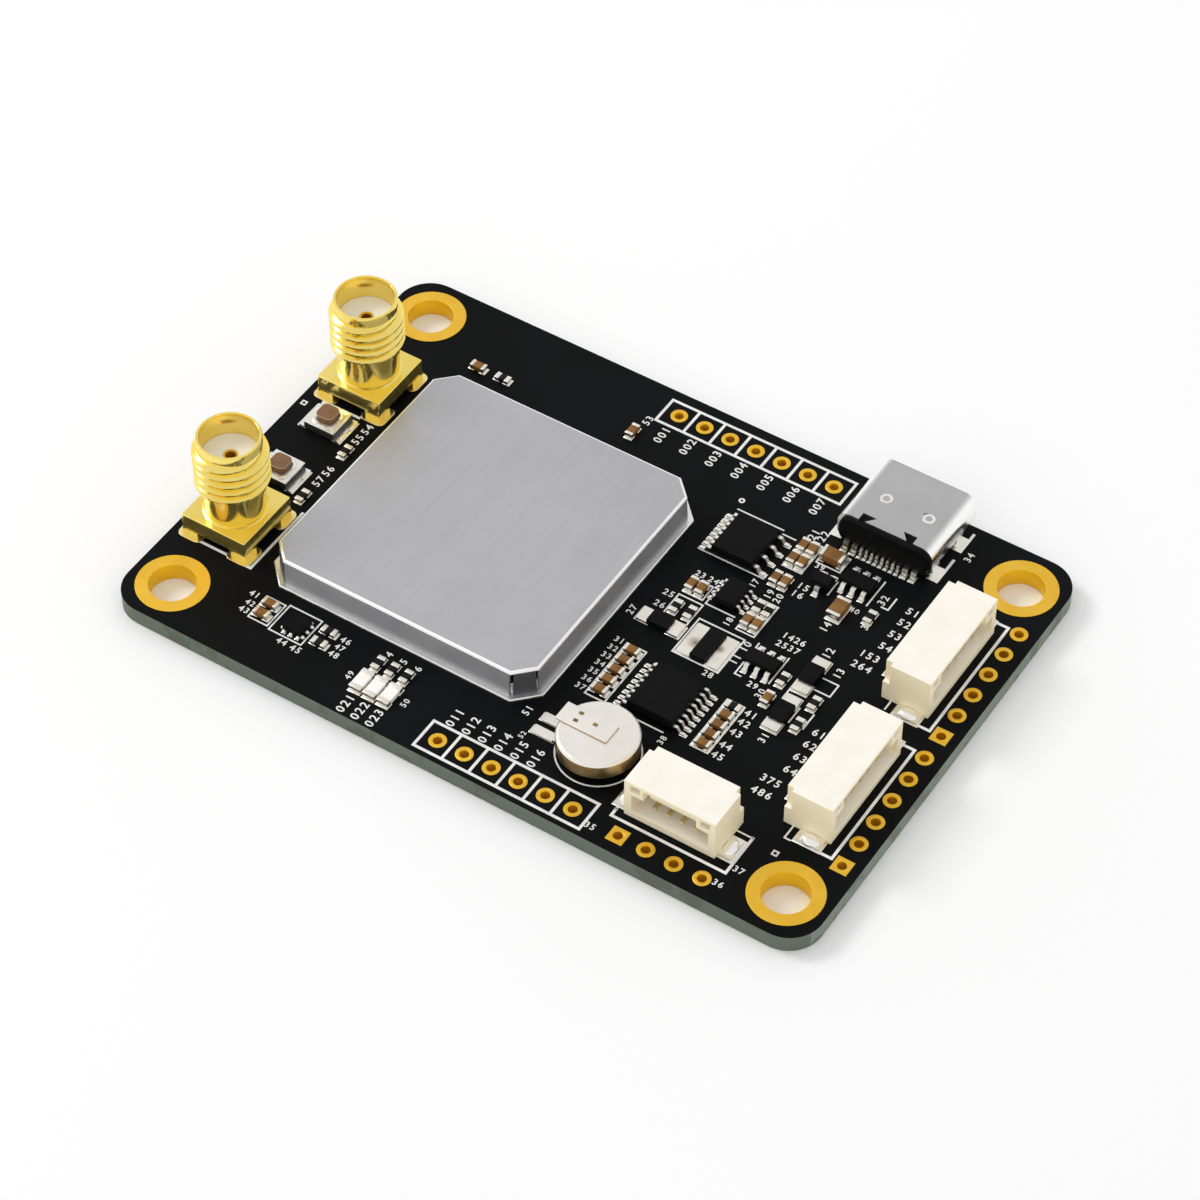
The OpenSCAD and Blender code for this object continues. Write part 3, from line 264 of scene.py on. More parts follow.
def merged(node):
    """A bmesh of a CAD piece with its doubled points merged and flat faces made whole."""
    bm = bmesh.new()
    bm.from_mesh(nodes[node].data)
    bmesh.ops.remove_doubles(bm, verts=bm.verts, dist=MERGE)
    bmesh.ops.dissolve_limit(bm, angle_limit=math.radians(1), verts=bm.verts, edges=bm.edges)
    return bm


def round_edges(bm, edges, width, segments=2):
    """Rounds edges of a bmesh by a width in mm."""
    bmesh.ops.bevel(
        bm,
        geom=edges,
        offset=width * MM,
        offset_type="OFFSET",
        segments=segments,
        profile=0.5,
        affect="EDGES",
        clamp_overlap=True,
        material=-1,
    )


def creases(bm, angle=30):
    """The edges of a bmesh that fold by more than an angle."""
    return [e for e in bm.edges if e.is_manifold and e.calc_face_angle() > math.radians(angle)]


def softened(node, width, material, body=BOARD, segments=2, angle=30):
    """A CAD piece copied with its edges rounded."""
    bm = merged(node)
    round_edges(bm, creases(bm, angle), width, segments)
    return piece(node + "_soft", bm, material, body, (node,))


def block(bm, low, high):
    """Adds a block between two corners, in mm, and gives back its points."""
    low, high = Vector(low) * MM, Vector(high) * MM
    size = Matrix.Diagonal((*(high - low), 1))
    place = Matrix.Translation((low + high) / 2)
    return bmesh.ops.create_cube(bm, size=1, matrix=place @ size)["verts"]


def solids_of(node):
    """The boxes of a CAD piece's separate solids, in mm."""
    bm = merged(node)
    boxes, seen = [], set()
    for start in bm.verts:
        if start in seen:
            continue
        seen.add(start)
        group, queue = [], [start]
        while queue:
            vert = queue.pop()
            group.append(vert.co / MM)
            for near in (e.other_vert(vert) for e in vert.link_edges):
                if near not in seen:
                    seen.add(near)
                    queue.append(near)
        boxes.append([Vector([pick(co[i] for co in group) for i in range(3)]) for pick in (min, max)])
    bm.free()
    return boxes


softened("mounting_hole_plating", 0.035, gold_plate)
softened("header_hole_plating", 0.03, gold_plate)
PAD_REACH = 0.8
jack_grounds = [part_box("front_jack_body"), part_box("rear_jack_body")]


def under_jack(face):
    """Whether a pad's face lies under or close round an antenna jack."""
    spot = face.calc_center_median()
    grow = PAD_REACH * MM
    return any(
        low.x - grow < spot.x < high.x + grow and low.y - grow < spot.y < high.y + grow
        for low, high in jack_grounds
    )


for name, material, slot, wanted in (
    ("jack_pads", pale_gold, "gold_plate", True),
    ("tinned_pads", tin, "tin", False),
):
    bm = merged("solder_pads")
    others = [face for face in bm.faces if under_jack(face) != wanted]
    bmesh.ops.delete(bm, geom=others, context="FACES")
    round_edges(bm, [e for e in creases(bm) if e.verts[0].co.z == e.verts[1].co.z], 0.03)
    piece(name, bm, material, BOARD, ("solder_pads",))

# Printed marks: white ink 0.02 mm thick over the mask, lines about a quarter millimetre wide.
# They outline the parts and header rows; plain running numbers stand at the places of labels.
INK = 0.02
LINE = 0.25
FINE = 0.14
board_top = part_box("circuit_board")[1].z / MM
ink_top = board_top + INK
ink = finish("ink", (240, 240, 236), (222, 222, 220), (0.5, 0.65), scales=(900, 900, 6000), relief=0.002)
marks = bmesh.new()


def bar(x0, y0, x1, y1, line=LINE):
    """A printed line along x or y between two points."""
    grow = line / 2
    block(
        marks,
        (min(x0, x1) - grow, min(y0, y1) - grow, board_top),
        (max(x0, x1) + grow, max(y0, y1) + grow, ink_top),
    )


def trail(*points, line=LINE):
    """A printed line through a row of points, its bars laid end to end."""
    for place, (start, end) in enumerate(zip(points, points[1:])):
        step = (Vector(end) - Vector(start)).normalized() * line
        if place > 0:
            start = Vector(start) + step
        if place == len(points) - 2 and points[0] == points[-1]:
            end = Vector(end) - step
        bar(*start, *end, line)


def outline(x0, y0, x1, y1, line=LINE):
    """A printed box."""
    trail((x0, y0), (x1, y0), (x1, y1), (x0, y1), (x0, y0), line=line)


pitch = 2.54
back_row, front_row = 2.98, 4.74
for middle, gaps, (x0, y0, x1, y1) in (
    (back_row, 6, (-6.1, 18.6, 12.0, 21.4)),
    (front_row, 5, (-3.0, -21.9, 12.55, -19.0)),
):
    outline(x0, y0, x1, y1)
    for gap in range(gaps):
        x = middle + (gap - (gaps - 1) / 2) * pitch
        bar(x, y0 + LINE, x, y1 - LINE)
for corners in (
    (6.15, 3.35, 8.05, 5.05),
    (11.5, 10.2, 13.3, 13.7),
    (11.95, 2.2, 13.65, 6.0),
    (13.65, 12.0, 15.9, 13.75),
    (17.4, 7.1, 18.6, 9.3),
    (5.4, -10.1, 7.25, -3.85),
    (15.3, -10.1, 16.9, -4.5),
    (6.1, 0.3, 8.4, 2.9),
    (8.9, -2.6, 13.2, 1.55),
    (-21.9, -18.1, -20.0, -15.5),
    (-19.7, -18.3, -16.5, -15.3),
):
    outline(*corners, line=FINE)
trail((-30.9, -13.6), (-27.1, -13.6))
trail((-26.2, -13.75), (-24.85, -13.75), (-24.85, -6.5))
trail((-31.0, 5.1), (-27.3, 5.1))
trail((29.4, 14.2), (30.4, 14.2), (30.4, 1.35), (29.5, 1.35))
trail((29.4, -1.0), (30.4, -1.0), (30.4, -13.8), (29.5, -13.8))
trail((13.9, -18.7), (13.9, -19.4), (24.3, -19.4), (24.3, -15.4))
trail((23.05, 20.5), (23.05, 21.6))
trail((23.05, 17.0), (23.05, 18.2))
for corner in (
    ((26.3, -12.3), (26.3, -14.0), (26.8, -14.0)),
    ((26.3, 2.6), (26.3, 1.4)),
    ((22.7, -15.4), (24.3, -15.4)),
    ((13.9, -17.2), (13.9, -18.7)),
    ((4.75, 8.05), (11.0, 8.05)),
    ((5.2, 13.55), (9.6, 13.55)),
    ((9.8, 13.15), (11.0, 13.15)),
    ((8.55, -4.4), (13.0, -4.4)),
    ((8.55, -10.2), (12.8, -10.2)),
    ((8.45, 3.7), (8.45, 3.2), (11.2, 3.2)),
    ((14.35, 1.85), (14.35, -1.9), (14.9, -1.9)),
    ((17.2, 1.8), (17.2, -1.3)),
    ((19.55, 10.1), (19.55, 13.1)),
    ((16.3, 9.4), (16.3, 11.0)),
    ((18.9, -3.8), (18.9, 2.0)),
    ((20.65, 10.6), (21.25, 10.6), (21.25, 12.0)),
    ((20.6, 1.5), (22.0, 1.5), (22.0, 0.1), (20.6, 0.1)),
    ((20.6, -3.9), (20.6, -2.2)),
    ((21.9, -3.9), (21.9, -2.2)),
):
    trail(*corner, line=FINE)
pin_mark = 0.2
for x, y in ((-32.3, 4.05), (26.5, -15.7)):
    outline(x - pin_mark, y - pin_mark, x + pin_mark, y + pin_mark, line=FINE)


def lathe(bm, x, y, profile, steps):
    """Spins a closed profile of radii and heights about an upright axis, in mm."""
    verts = [bm.verts.new(Vector((x + r, y, z)) * MM) for r, z in profile]
    bmesh.ops.spin(
        bm,
        geom=[bm.edges.new(pair) for pair in zip(verts, verts[1:] + verts[:1])],
        cent=Vector((x, y, 0)) * MM,
        axis=(0, 0, 1),
        angle=math.tau,
        steps=steps,
        use_merge=True,
    )


def ring(bm, x, y, inner, outer, low, high, steps=64):
    """Adds a flat ring about an upright axis, in mm."""
    lathe(bm, x, y, [(inner, low), (outer, low), (outer, high), (inner, high)], steps)


def sealed(bm):
    """Merges the doubled points of spun rings and turns all faces outwards."""
    bmesh.ops.remove_doubles(bm, verts=bm.verts, dist=MERGE / 10)
    bmesh.ops.recalc_face_normals(bm, faces=bm.faces)


cell_ring, pin_dot, dot_line = 3.45, 0.2, 0.16
ring(marks, 9.65, -14.65, cell_ring - FINE / 2, cell_ring + FINE / 2, board_top, ink_top)
ring(marks, 4.95, 14.55, pin_dot - dot_line / 2, pin_dot + dot_line / 2, board_top, ink_top, steps=20)
sealed(marks)
piece("printed_lines", marks, ink)

STROKE = 0.014
ADVANCE = 0.62
EM = 0.9 / 0.7
digit_meshes = []
for digit in "0123456789":
    curve = bpy.data.curves.new("digit", "FONT")
    curve.body = digit
    curve.align_x = "CENTER"
    curve.align_y = "CENTER"
    curve.resolution_u = 2
    curve.offset = STROKE
    curve.extrude = 0.5
    writing = bpy.data.objects.new("digit", curve)
    bpy.context.scene.collection.objects.link(writing)
    made = writing.evaluated_get(bpy.context.evaluated_depsgraph_get())
    digit_meshes.append(bpy.data.meshes.new_from_object(made))
    bpy.data.objects.remove(writing)

numbers = bmesh.new()


def number(value, x, y, size, level=True):
    """Prints a number about a place; one that isn't level reads along y."""
    turn = Matrix.Rotation(0 if level else math.pi / 2, 4, "Z")
    centre = Matrix.Translation(Vector((x, y, board_top + INK / 2)) * MM)
    em = size * EM * MM
    scale = Matrix.Diagonal((em, em, INK * MM, 1))
    for place, digit in enumerate(value):
        aside = (place - (len(value) - 1) / 2) * ADVANCE
        before = len(numbers.verts)
        numbers.from_mesh(digit_meshes[int(digit)])
        numbers.verts.ensure_lookup_table()
        bmesh.ops.transform(
            numbers,
            matrix=centre @ turn @ scale @ Matrix.Translation((aside, 0, 0)),
            verts=numbers.verts[before:],
        )


for first, count, digits, (x, y), (step_x, step_y), size, level in (
    (1, 7, 3, (back_row - 3 * pitch, 17.35), (pitch, 0), 0.85, False),
    (11, 6, 3, (-1.75, -17.85), (1.53, 0), 0.85, False),
    (21, 3, 3, (-9.9, -21.35), (1.4, 0), 0.85, False),
    (4, 3, 1, (-9.9, -15.25), (1.4, 0), 0.7, False),
    (31, 7, 2, (4.72, -3.95), (0, -0.96), 0.62, True),
):
    for place in range(count):
        value = f"{first + place:0{digits}d}"
        number(value, x + place * step_x, y + place * step_y, size, level)
for row, y in enumerate((-4.9, -5.95, -7.15, -8.7, -9.9)):
    number(f"{row + 41}", 17.7, y, 0.75)
for row, y in enumerate((11.4, 10.0, 8.5, 7.0)):
    number(f"{row + 51}", 23.1, y, 0.8)
    number(f"{row + 61}", 23.25, y - 15.1, 0.8)
for row, y in enumerate((5.5, 4.2, -9.8, -11.2)):
    number(f"{row + 1}{row + 5}{row + 3}", 22.5, y, 0.8)
for row, y in enumerate((3.75, 2.75)):
    number(f"{row + 1}{row + 4}{row + 2}{row + 6}", 16.5, y, 0.7)
for row, (x, y, size, level) in enumerate((
    (13.65, 1.0, 0.75, False),
    (13.65, -0.6, 0.75, False),
    (19.6, 4.0, 0.8, False),
    (21.4, 2.6, 0.75, False),
    (17.95, 6.3, 0.75, False),
    (14.2, 9.0, 0.75, True),
    (14.2, 8.05, 0.75, True),
    (10.65, 7.2, 0.65, False),
    (11.05, 2.5, 0.65, False),
    (12.3, 6.85, 0.7, False),
    (13.15, 6.85, 0.7, False),
    (12.0, 14.5, 0.8, False),
    (12.75, 14.75, 0.8, False),
    (6.45, 5.65, 0.65, True),
    (7.7, 5.65, 0.65, True),
    (5.35, 2.5, 0.7, True),
    (5.35, 1.1, 0.7, True),
    (3.8, -0.6, 0.7, False),
    (12.6, -3.15, 0.65, True),
    (16.2, -2.2, 0.65, True),
    (17.2, -2.6, 0.7, False),
    (19.8, -6.35, 0.7, False),
    (20.45, 11.3, 0.75, False),
    (20.65, 8.25, 0.7, False),
    (24.0, 19.2, 0.7, False),
    (13.1, -21.2, 0.65, True),
    (24.35, -20.6, 0.65, True),
    (25.0, -18.65, 0.65, True),
    (13.2, -10.9, 0.6, False),
    (14.2, 11.65, 0.6, True),
    (19.0, 9.05, 0.6, True),
    (-22.85, -15.9, 0.65, True),
    (-22.6, -16.85, 0.6, True),
    (-22.6, -17.7, 0.65, True),
    (-18.0, -18.85, 0.65, True),
    (-16.6, -18.9, 0.7, True),
    (-13.7, -16.0, 0.65, True),
    (-13.7, -16.85, 0.6, True),
    (-13.7, -17.7, 0.65, True),
    (-11.35, -18.75, 0.6, False),
    (-5.95, -18.75, 0.6, False),
    (2.65, -14.1, 0.7, False),
    (3.65, -16.4, 0.5, False),
    (-6.55, 18.15, 0.75, False),
    (-25.9, 4.35, 0.8, False),
    (-25.9, 2.95, 0.8, False),
    (-25.85, -1.4, 0.8, False),
    (-25.85, -2.8, 0.8, False),
)):
    number(f"{row + 10}", x, y, size, level)
piece("printed_numbers", numbers, ink)

# Shield: a tinned frame soldered round the radio part and a folded nickel-silver lid pressed on.
# The lid is brushed front to back; its corners are open folds.
brushing, ends_in, ends_out = new_group(
    "brushing",
    (("Across Scale", FLOAT, 9000), ("Along Share", FLOAT, 0.02)),
    (("Streak", FLOAT), ("Height", FLOAT)),
)
stretch = brushing.nodes.new("ShaderNodeCombineXYZ")
stretch.inputs["X"].default_value = 1
stretch.inputs["Z"].default_value = 1
brushing.links.new(ends_in.outputs["Along Share"], stretch.inputs["Y"])
turned = brushing.nodes.new("ShaderNodeVectorMath")
turned.operation = "MULTIPLY"
brushing.links.new(object_place(brushing), turned.inputs[0])
brushing.links.new(stretch.outputs["Vector"], turned.inputs[1])
streaks = noise(brushing, turned.outputs["Vector"], ends_in.outputs["Across Scale"], 4)
brushing.links.new(streaks, ends_out.inputs["Height"])
brushing.links.new(remap(brushing, streaks, 0.3, 0.7), ends_out.inputs["Streak"])


def brush(material, across, along, relief, colour, strength):
    """Lays brushing over a material: streaks of a second colour and fine grooves."""
    tree = material.node_tree
    lines = tree.nodes.new("ShaderNodeGroup")
    lines.node_tree = brushing
    lines.inputs["Across Scale"].default_value = across
    lines.inputs["Along Share"].default_value = along
    recolour(material, sums(tree, "MULTIPLY", lines.outputs["Streak"], strength), colour)
    grooves = tree.nodes.new("ShaderNodeBump")
    grooves.inputs["Distance"].default_value = relief * MM
    tree.links.new(lines.outputs["Height"], grooves.inputs["Height"])
    tree.links.new(tree.nodes["grain"].outputs["Normal"], grooves.inputs["Normal"])
    tree.links.new(grooves.outputs["Normal"], tree.nodes["Principled BSDF"].inputs["Normal"])


def between(tree, value, low, high):
    """1 where a value lies between two limits."""
    above = sums(tree, "GREATER_THAN", value, low)
    below = sums(tree, "LESS_THAN", value, high)
    return sums(tree, "MULTIPLY", above, below)


can_frame = finish(
    "can_frame", (244, 244, 242), (236, 236, 234), (0.26, 0.36), scales=(500, 1200, 5000), relief=0.001,
    Metallic=1.0,
)
can_lid = finish(
    "can_lid", (196, 196, 199), (190, 190, 193), (0.38, 0.46), scales=(120, 300, 6000), Metallic=1.0
)
brush(can_lid, 9000, 0.015, 0.003, (180, 180, 184), 0.5)
tree = can_lid.node_tree
wall = upright(tree, 0.2)
corner = sums(tree, "ABSOLUTE", sums(tree, "MULTIPLY", facing(tree, "X"), facing(tree, "Y")))
# Painted light and shade on the lid: its walls are drawn a little lighter than the top, the wall facing +X
# darker, and the cut corner facets much darker.
recolour(can_lid, wall, (200, 200, 203))
recolour(can_lid, toward_x(tree), (186, 186, 189))
recolour(can_lid, sums(tree, "GREATER_THAN", corner, 0.25), (118, 118, 122))
# Painted highlight: the rounded rim round the top of the lid is drawn near white.
recolour(can_lid, between(tree, facing(tree, "Z"), 0.2, 0.97), (253, 253, 253))
dull = sums(tree, "MULTIPLY_ADD", wall, 0.2, tree.nodes["surface"].outputs["Roughness"])
tree.links.new(dull, tree.nodes["Principled BSDF"].inputs["Roughness"])
softened("shield_frame", 0.08, can_frame)
lid = merged("shield_lid")
lid_top = max(v.co.z for v in lid.verts)
rim = [e for e in creases(lid) if all(v.co.z > lid_top - MERGE for v in e.verts)]
round_edges(lid, rim, 0.22, 3)
piece("shield_lid_soft", lid, can_lid, BOARD, ("shield_lid",))
black_resin = finish(
    "black_resin", (15, 15, 16), (11, 11, 12), (0.42, 0.58), scales=(500, 900, 7000), relief=0.012,
    Specular_IOR_Level=0.07,
)
dress(black_resin, "receiver_processor", "radio_front_ends", "flash_memory")
dress(can_frame, "reference_oscillator", "band_filters")

# Antenna jacks: turned brass under gold, a square flange with four feet soldered to the board.
# The barrel is threaded, 6.35 mm over its ridges, for the nut of a coaxial plug.
# A white fluoropolymer insulator fills the barrel and holds the hollow centre contact.
jack_gold = finish(
    "jack_gold", (254, 231, 132), (249, 221, 110), (0.12, 0.2), scales=(300, 700, 5000), relief=0.0003,
    Metallic=0.9,
)
contact_gold = finish(
    "contact_gold", (244, 234, 204), (230, 218, 184), (0.2, 0.32), scales=(900, 1500, 6000), Metallic=1.0
)
white_insulator = finish(
    "white_insulator", (253, 252, 249), (248, 247, 243), (0.4, 0.5), scales=(500, 800, 6000)
)
flange, flange_low, flange_high = 6.4, 0.6, 2.15
foot, foot_lap, barrel_lap = 1.5, 0.1, 0.2
neck, nose, crest, root, bore, mouth = 2.625, 2.725, 3.175, 2.72, 2.05, 2.45
collar = neck + 0.16
thread_low, thread_high, seat_top = 4.6, 9.7, 8.15
thread_pitch, thread_end, run_out = 0.85, 0.38, 0.3
tooth_foot, tooth_side, tooth_top, tooth_round, tooth_sunk = 0.36, 0.16, 0.07, 0.1, 0.06
head_bore, head_gap, head_low, head_high = 0.66, 0.02, 0.1, 0.04
BARREL_STEPS = 80
THREAD_STEPS = 64


def barrel(bm, axis, base, tall):
    """Adds the turned body of a jack, from inside its flange to the rim of its mouth."""
    profile = [
        (bore, flange_low + barrel_lap),
        (collar, flange_low + barrel_lap),
        (collar, flange_high + 0.05),
        (neck, flange_high + 0.12),
        (neck, thread_low - 0.06),
        (root, thread_low + 0.05),
        (root, thread_high - 0.05),
        (nose, thread_high + 0.04),
        (nose, tall - 0.09),
        (nose - 0.04, tall - 0.02),
        (nose - 0.1, tall),
        (mouth + 0.1, tall),
        (mouth + 0.03, tall - 0.03),
        (mouth, tall - 0.1),
        (mouth, seat_top),
        (bore, seat_top),
    ]
    lathe(bm, axis.x, axis.y, [(r, base + z) for r, z in profile], BARREL_STEPS)
    bmesh.ops.remove_doubles(bm, verts=bm.verts, dist=MERGE / 10)


def thread(bm, axis, base):
    """Winds a ridge round a jack's barrel; it grows and dies away over part of a turn."""
    turns = (thread_high - thread_low - 2 * thread_end) / thread_pitch
    start = base + thread_low + thread_end
    sunk = root - tooth_sunk
    tooth = [
        (sunk, -tooth_foot),
        (crest - tooth_round, -tooth_side),
        (crest, -tooth_top),
        (crest, tooth_top),
        (crest - tooth_round, tooth_side),
        (sunk, tooth_foot),
    ]
    before = len(bm.verts)
    ridge = [bm.verts.new(Vector((axis.x + r, axis.y, start + z)) * MM) for r, z in tooth]
    steps = int(turns * THREAD_STEPS)
    bmesh.ops.spin(
        bm,
        geom=[bm.faces.new(ridge)],
        cent=Vector((axis.x, axis.y, 0)) * MM,
        axis=(0, 0, 1),
        dvec=(0, 0, turns * thread_pitch * MM / steps),
        angle=math.tau * turns,
        steps=steps,
    )
    bm.verts.ensure_lookup_table()
    for vert in bm.verts[before:]:
        out = Vector((vert.co.x / MM - axis.x, vert.co.y / MM - axis.y))
        part = math.atan2(out.y, out.x) / math.tau % 1
        turn = part + round((vert.co.z / MM - start) / thread_pitch - part)
        height = max(0, min(1, turn / run_out, (turns - turn) / run_out))
        out *= (sunk + (out.length - sunk) * height) / out.length
        vert.co.x, vert.co.y = (axis.x + out.x) * MM, (axis.y + out.y) * MM


def square_flange(bm, axis, base):
    """Adds a jack's square flange with rounded edges and a foot under each corner."""
    half = flange / 2
    solid = block(
        bm,
        (axis.x - half, axis.y - half, base + flange_low),
        (axis.x + half, axis.y + half, base + flange_high),
    )
    round_edges(bm, list({e for v in solid for e in v.link_edges}), 0.1, 3)
    for x in (-1, 1):
        for y in (-1, 1):
            inner = (axis.x + x * (half - foot), axis.y + y * (half - foot), base)
            outer = (axis.x + x * half, axis.y + y * half, base + flange_low + foot_lap)
            pairs = list(zip(inner, outer))
            block(bm, [min(pair) for pair in pairs], [max(pair) for pair in pairs])


for jack in ("front_jack", "rear_jack"):
    low, high = (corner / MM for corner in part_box(jack + "_body"))
    axis = (low + high) / 2
    bm = bmesh.new()
    barrel(bm, axis, low.z, high.z - low.z)
    thread(bm, axis, low.z)
    square_flange(bm, axis, low.z)
    bmesh.ops.recalc_face_normals(bm, faces=bm.faces)
    piece(jack + "_turned", bm, jack_gold, BOARD, (jack + "_body",))
    insulator = jack + "_insulator"
    seat = low.z + seat_top
    bm = merged(insulator)
    ring(bm, axis.x, axis.y, head_bore, mouth - head_gap, seat - head_low, seat + head_high)
    sealed(bm)
    piece(insulator + "_headed", bm, white_insulator, BOARD, (insulator,))
dress(gold_plate, "front_jack_contact", "rear_jack_contact")

# Push switches: a black base, a sheet steel cover with a raised rim, a snap dome inside.
# The square brown button rides in the cover and goes down 0.2 mm.
switch_resin = finish("switch_resin", (52, 50, 48), (40, 38, 36), (0.45, 0.6), relief=0.008)
switch_steel = finish(
    "switch_steel", (250, 248, 243), (240, 237, 230), (0.24, 0.34), scales=(900, 1500, 5000), relief=0.001,
    Metallic=1.0,
)
brown_button = finish(
    "brown_button", (128, 90, 48), (112, 76, 38), (0.3, 0.42), scales=(900, 1500, 7000), relief=0.004,
    Coat_Weight=0.3,
)
tree = brown_button.node_tree
# Painted highlight: the rounded edges of the button are drawn a light tan, lighter than its brown top.
recolour(brown_button, between(tree, facing(tree, "Z"), 0.2, 0.95), (214, 180, 132))
for switch in ("front", "rear"):
    softened(switch + "_switch_base", 0.05, switch_resin)
    softened(switch + "_switch_cover", 0.03, switch_steel)
    softened(switch + "_button", 0.14, brown_button, switch + "_push", 3)
dress(switch_steel, "front_switch_dome", "rear_switch_dome", "switch_terminals")

# USB-C socket: a drawn stainless shell with notches and weld dimples over a black housing.
# Four shell legs and a row of contact tails are soldered to the board.
usb_steel = finish(
    "usb_steel", (196, 196, 197), (188, 188, 189), (0.2, 0.28), scales=(250, 600, 6000), relief=0.001,
    Metallic=1.0,
)
tree = usb_steel.node_tree
# Painted highlight: the shell's rounded shoulders fade to near white as they turn away from the top.
recolour(usb_steel, remap(tree, facing(tree, "Z", "Normal"), 0.97, 0.8), (250, 250, 249))
softened("usb_shell", 0.05, usb_steel)
softened("usb_housing", 0.04, black_resin)
usb_contact = finish(
    "usb_contact", (240, 196, 92), (224, 172, 70), (0.2, 0.34), scales=(900, 1500, 6000), Metallic=1.0
)
tails_end = 17.0
tree = usb_contact.node_tree
tail = sums(tree, "LESS_THAN", part_of(tree, object_place(tree), "Y"), tails_end * MM)
recolour(usb_contact, tail, (238, 235, 226))
dress(usb_contact, "usb_contacts")
usb_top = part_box("usb_shell")[1].z / MM
weld_inner, weld_outer, weld_low, weld_high = 0.31, 0.54, 0.05, 0.02
dome_wide, dome_tall, dome_low = 0.32, 0.04, 0.03


def hump(bm, spot, radii, around=24):
    """Adds a squashed ball about a place, in mm: a weld dome or a bead of solder."""
    bmesh.ops.create_uvsphere(
        bm,
        u_segments=around,
        v_segments=around // 2,
        radius=MM,
        matrix=Matrix.Translation(Vector(spot) * MM) @ Matrix.Diagonal((*radii, 1)),
    )


welds = bmesh.new()
domes = bmesh.new()
for x, y in ((16.3, 18.6), (20.35, 18.5)):
    ring(welds, x, y, weld_inner, weld_outer, usb_top - weld_low, usb_top + weld_high, steps=32)
    hump(domes, (x, y, usb_top - dome_low), (dome_wide, dome_wide, dome_tall))
sealed(welds)
piece("usb_weld_rings", welds, switch_steel)
piece("usb_weld_domes", domes, usb_steel)

# Wire sockets: cream nylon housings with moulded mouths, gold-plated round-tipped pins.
# A solder tab on each side holds the housing down.
cream_resin = finish(
    "cream_resin", (251, 246, 235), (247, 241, 227), (0.42, 0.55), scales=(500, 900, 5200), relief=0.012
)
# Painted shade: the walls, mouths and insides of the housings are drawn a deeper yellow than their tops.
recolour(cream_resin, upright(cream_resin.node_tree), (255, 243, 210))
solder_shine = finish(
    "solder_shine", (252, 252, 250), (246, 246, 243), (0.12, 0.2), scales=(900, 1500, 5000), relief=0.002,
    Metallic=0.7,
)
bead_long, bead_wide, bead_tall, bead_low, bead_out = 0.85, 0.6, 0.4, 0.22, 0.05
solder = bmesh.new()
for port in ("rear_port", "front_port", "corner_port"):
    softened(port + "_housing", 0.05, cream_resin)
    softened(port + "_tabs", 0.04, tin)
    dress(contact_gold, port + "_contacts")
    middle = sum(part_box(port + "_housing"), Vector()) / 2 / MM
    for low, high in solids_of(port + "_tabs"):
        spot = ((low + high) / 2).lerp(middle, -bead_out)
        spot.z = board_top + bead_low
        along_x = high.x - low.x > high.y - low.y
        across = (bead_long, bead_wide) if along_x else (bead_wide, bead_long)
        hump(solder, spot, (*across, bead_tall))
piece("port_solder", solder, solder_shine)

# Coin cell: a nickelled steel can with a rolled rim, a rechargeable cell that keeps the clock.
# Two sheet tabs are spot-welded to its top and its foot and soldered to the board.
cell_steel = finish(
    "cell_steel", (247, 243, 236), (241, 237, 229), (0.34, 0.44), scales=(200, 500, 5000), relief=0.002,
    Metallic=1.0,
)
# Painted reflection: the upright side of the can is drawn a darker brassy colour than its top.
recolour(cell_steel, upright(cell_steel.node_tree, 0.3), (190, 162, 118))
weld_burn = finish(
    "weld_burn", (160, 132, 84), (132, 104, 62), (0.4, 0.55), scales=(2000, 2000, 6000), Metallic=1.0
)
softened("coin_cell", 0.1, cell_steel, segments=3, angle=15)
softened("cell_top_tab", 0.04, cell_steel)
softened("cell_bottom_tab", 0.04, tin)
tab_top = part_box("cell_top_tab")[1].z / MM
burn_x, burn_y, burn_z = 0.2, 0.16, 0.01
burns = bmesh.new()
for x, y in ((7.6, -13.9), (7.6, -14.75), (9.15, -14.3)):
    block(burns, (x - burn_x, y - burn_y, tab_top - burn_z), (x + burn_x, y + burn_y, tab_top + burn_z))
piece("cell_weld_marks", burns, weld_burn)

# Chips: packages moulded in black epoxy over their dies, matt from the mould.
# Tinned gull-wing leads stand on the pads; the leadless one sits on its pads directly.
for chip in (
    "line_driver_body",
    "bus_buffer_body",
    "serial_converter_body",
    "buck_regulator_body",
    "linear_regulator_body",
    "transistor_body",
    "logic_chip",
):
    softened(chip, 0.05, black_resin)
dress(tin, "line_driver_leads", "bus_buffer_leads", "serial_converter_leads", "small_package_leads")
low, high = (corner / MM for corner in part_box("logic_chip"))
fillet_wide, fillet_long, fillet_tall, fillet_low = 0.17, 0.3, 0.2, 0.05
fillets = bmesh.new()
for share in (0.12, 0.5, 0.88):
    x = low.x + (high.x - low.x) * share
    y = low.y + (high.y - low.y) * share
    z = board_top + fillet_low
    for side in (low.y, high.y):
        hump(fillets, (x, side, z), (fillet_wide, fillet_long, fillet_tall), around=20)
    for side in (low.x, high.x):
        hump(fillets, (side, y, z), (fillet_long, fillet_wide, fillet_tall), around=20)
piece("small_chip_solder", fillets, solder_shine)

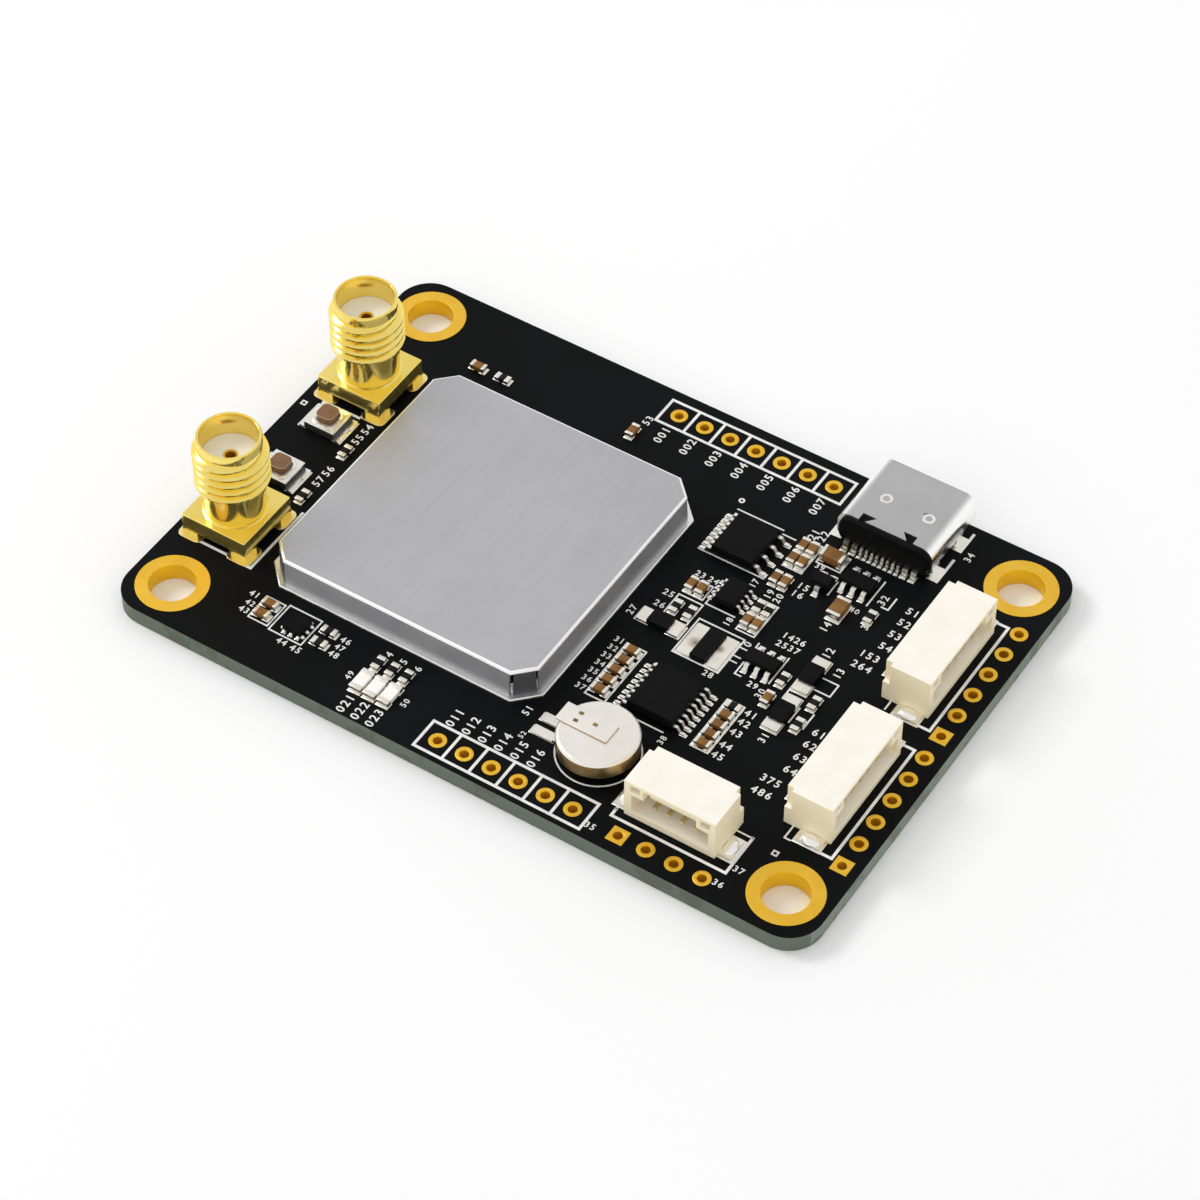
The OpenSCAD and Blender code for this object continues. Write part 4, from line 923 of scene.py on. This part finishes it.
# Small parts: brown ceramic capacitors, black glazed resistors, diodes, the inductor, lamps.
# All have tinned end caps standing on solder.
capacitor_ceramic = finish(
    "capacitor_ceramic", (142, 99, 44), (118, 80, 33), (0.35, 0.5), scales=(700, 900, 6000), relief=0.008,
    Specular_IOR_Level=0.3,
)
resistor_glaze = finish(
    "resistor_glaze", (22, 22, 23), (15, 15, 16), (0.3, 0.42), scales=(700, 900, 6000),
    Specular_IOR_Level=0.15,
)
lamp_lens = finish("lamp_lens", (254, 252, 246), (250, 247, 240), (0.2, 0.32), scales=(900, 900, 6000))
softened("capacitor_bodies", 0.04, capacitor_ceramic)
softened("resistor_bodies", 0.03, resistor_glaze)
softened("diode_bodies", 0.05, black_resin)
softened("inductor_body", 0.06, black_resin)
softened("lamp_bodies", 0.05, lamp_lens)
end_tin = finish(
    "end_tin", (248, 244, 235), (238, 232, 220), (0.24, 0.38), scales=(900, 1500, 5000), relief=0.002,
    Metallic=1.0,
)
tree = end_tin.node_tree
place = object_place(tree)
plate_top = board_top + 0.17
stain_core, stain_depth = 0.1, 0.8
for x, y, reach in ((10.1, -0.95, 0.75), (12.1, -0.5, 0.55)):
    away = tree.nodes.new("ShaderNodeVectorMath")
    away.operation = "DISTANCE"
    away.inputs[1].default_value = Vector((x, y, plate_top)) * MM
    tree.links.new(place, away.inputs[0])
    stain = remap(tree, away.outputs["Value"], reach * MM, stain_core * reach * MM, to_high=stain_depth)
    recolour(end_tin, stain, (112, 92, 46))
softened("chip_end_caps", 0.05, end_tin)

# Studio: a pale floor under the board, a soft sky that is white low down and grey overhead,
# and one large lamp from the back left. The camera stands at the photo's angle.
floor_half, floor_drop = 2.5, 0.03
floor = bmesh.new()
bmesh.ops.create_grid(
    floor, x_segments=1, y_segments=1, size=floor_half, matrix=Matrix.Translation((0, 0, -floor_drop * MM))
)
floor_mesh = bpy.data.meshes.new("floor")
floor.to_mesh(floor_mesh)
floor.free()
floor_paint = finish(
    "floor_paint", (250, 250, 250), (249, 249, 249), (0.7, 0.8), scales=(8, 20, 900), relief=0.001
)
floor_mesh.materials.append(floor_paint)
floor_piece = bpy.data.objects.new("floor", floor_mesh)
bpy.context.scene.collection.objects.link(floor_piece)

sky = bpy.data.worlds.new("sky")
bpy.context.scene.world = sky
sky.use_nodes = True
tree = sky.node_tree
height = part_of(tree, tree.nodes.new("ShaderNodeTexCoord").outputs["Generated"], "Z")
shade = remap(tree, height, 0.15, 0.75, to_low=1.0, to_high=0.8, kind="SMOOTHSTEP")
tree.links.new(shade, tree.nodes["Background"].inputs["Strength"])
tree.nodes["Background"].inputs["Color"].default_value = (1, 1, 1, 1)

key = bpy.data.lights.new("key", "AREA")
key.shape = "RECTANGLE"
key.size = 0.3
key.size_y = 0.3
key.energy = 3.4
key_lamp = bpy.data.objects.new("key", key)
key_lamp.location = (-0.8, -0.05, 0.65)
key_lamp.rotation_euler = (-Vector(key_lamp.location)).to_track_quat("-Z", "Y").to_euler()
bpy.context.scene.collection.objects.link(key_lamp)

camera_spot = (114.778, -176.859, 236.524)
camera_dip, camera_heading = 48.3, 32.91
view = bpy.data.cameras.new("view")
view.lens = 116.2
view.sensor_width = 36
view.clip_start = 0.01
camera = bpy.data.objects.new("view", view)
camera.location = Vector(camera_spot) * MM
camera.rotation_euler = (math.radians(90 - camera_dip), 0, math.radians(camera_heading))
bpy.context.scene.collection.objects.link(camera)
bpy.context.scene.camera = camera
bpy.context.scene.view_settings.view_transform = "Standard"
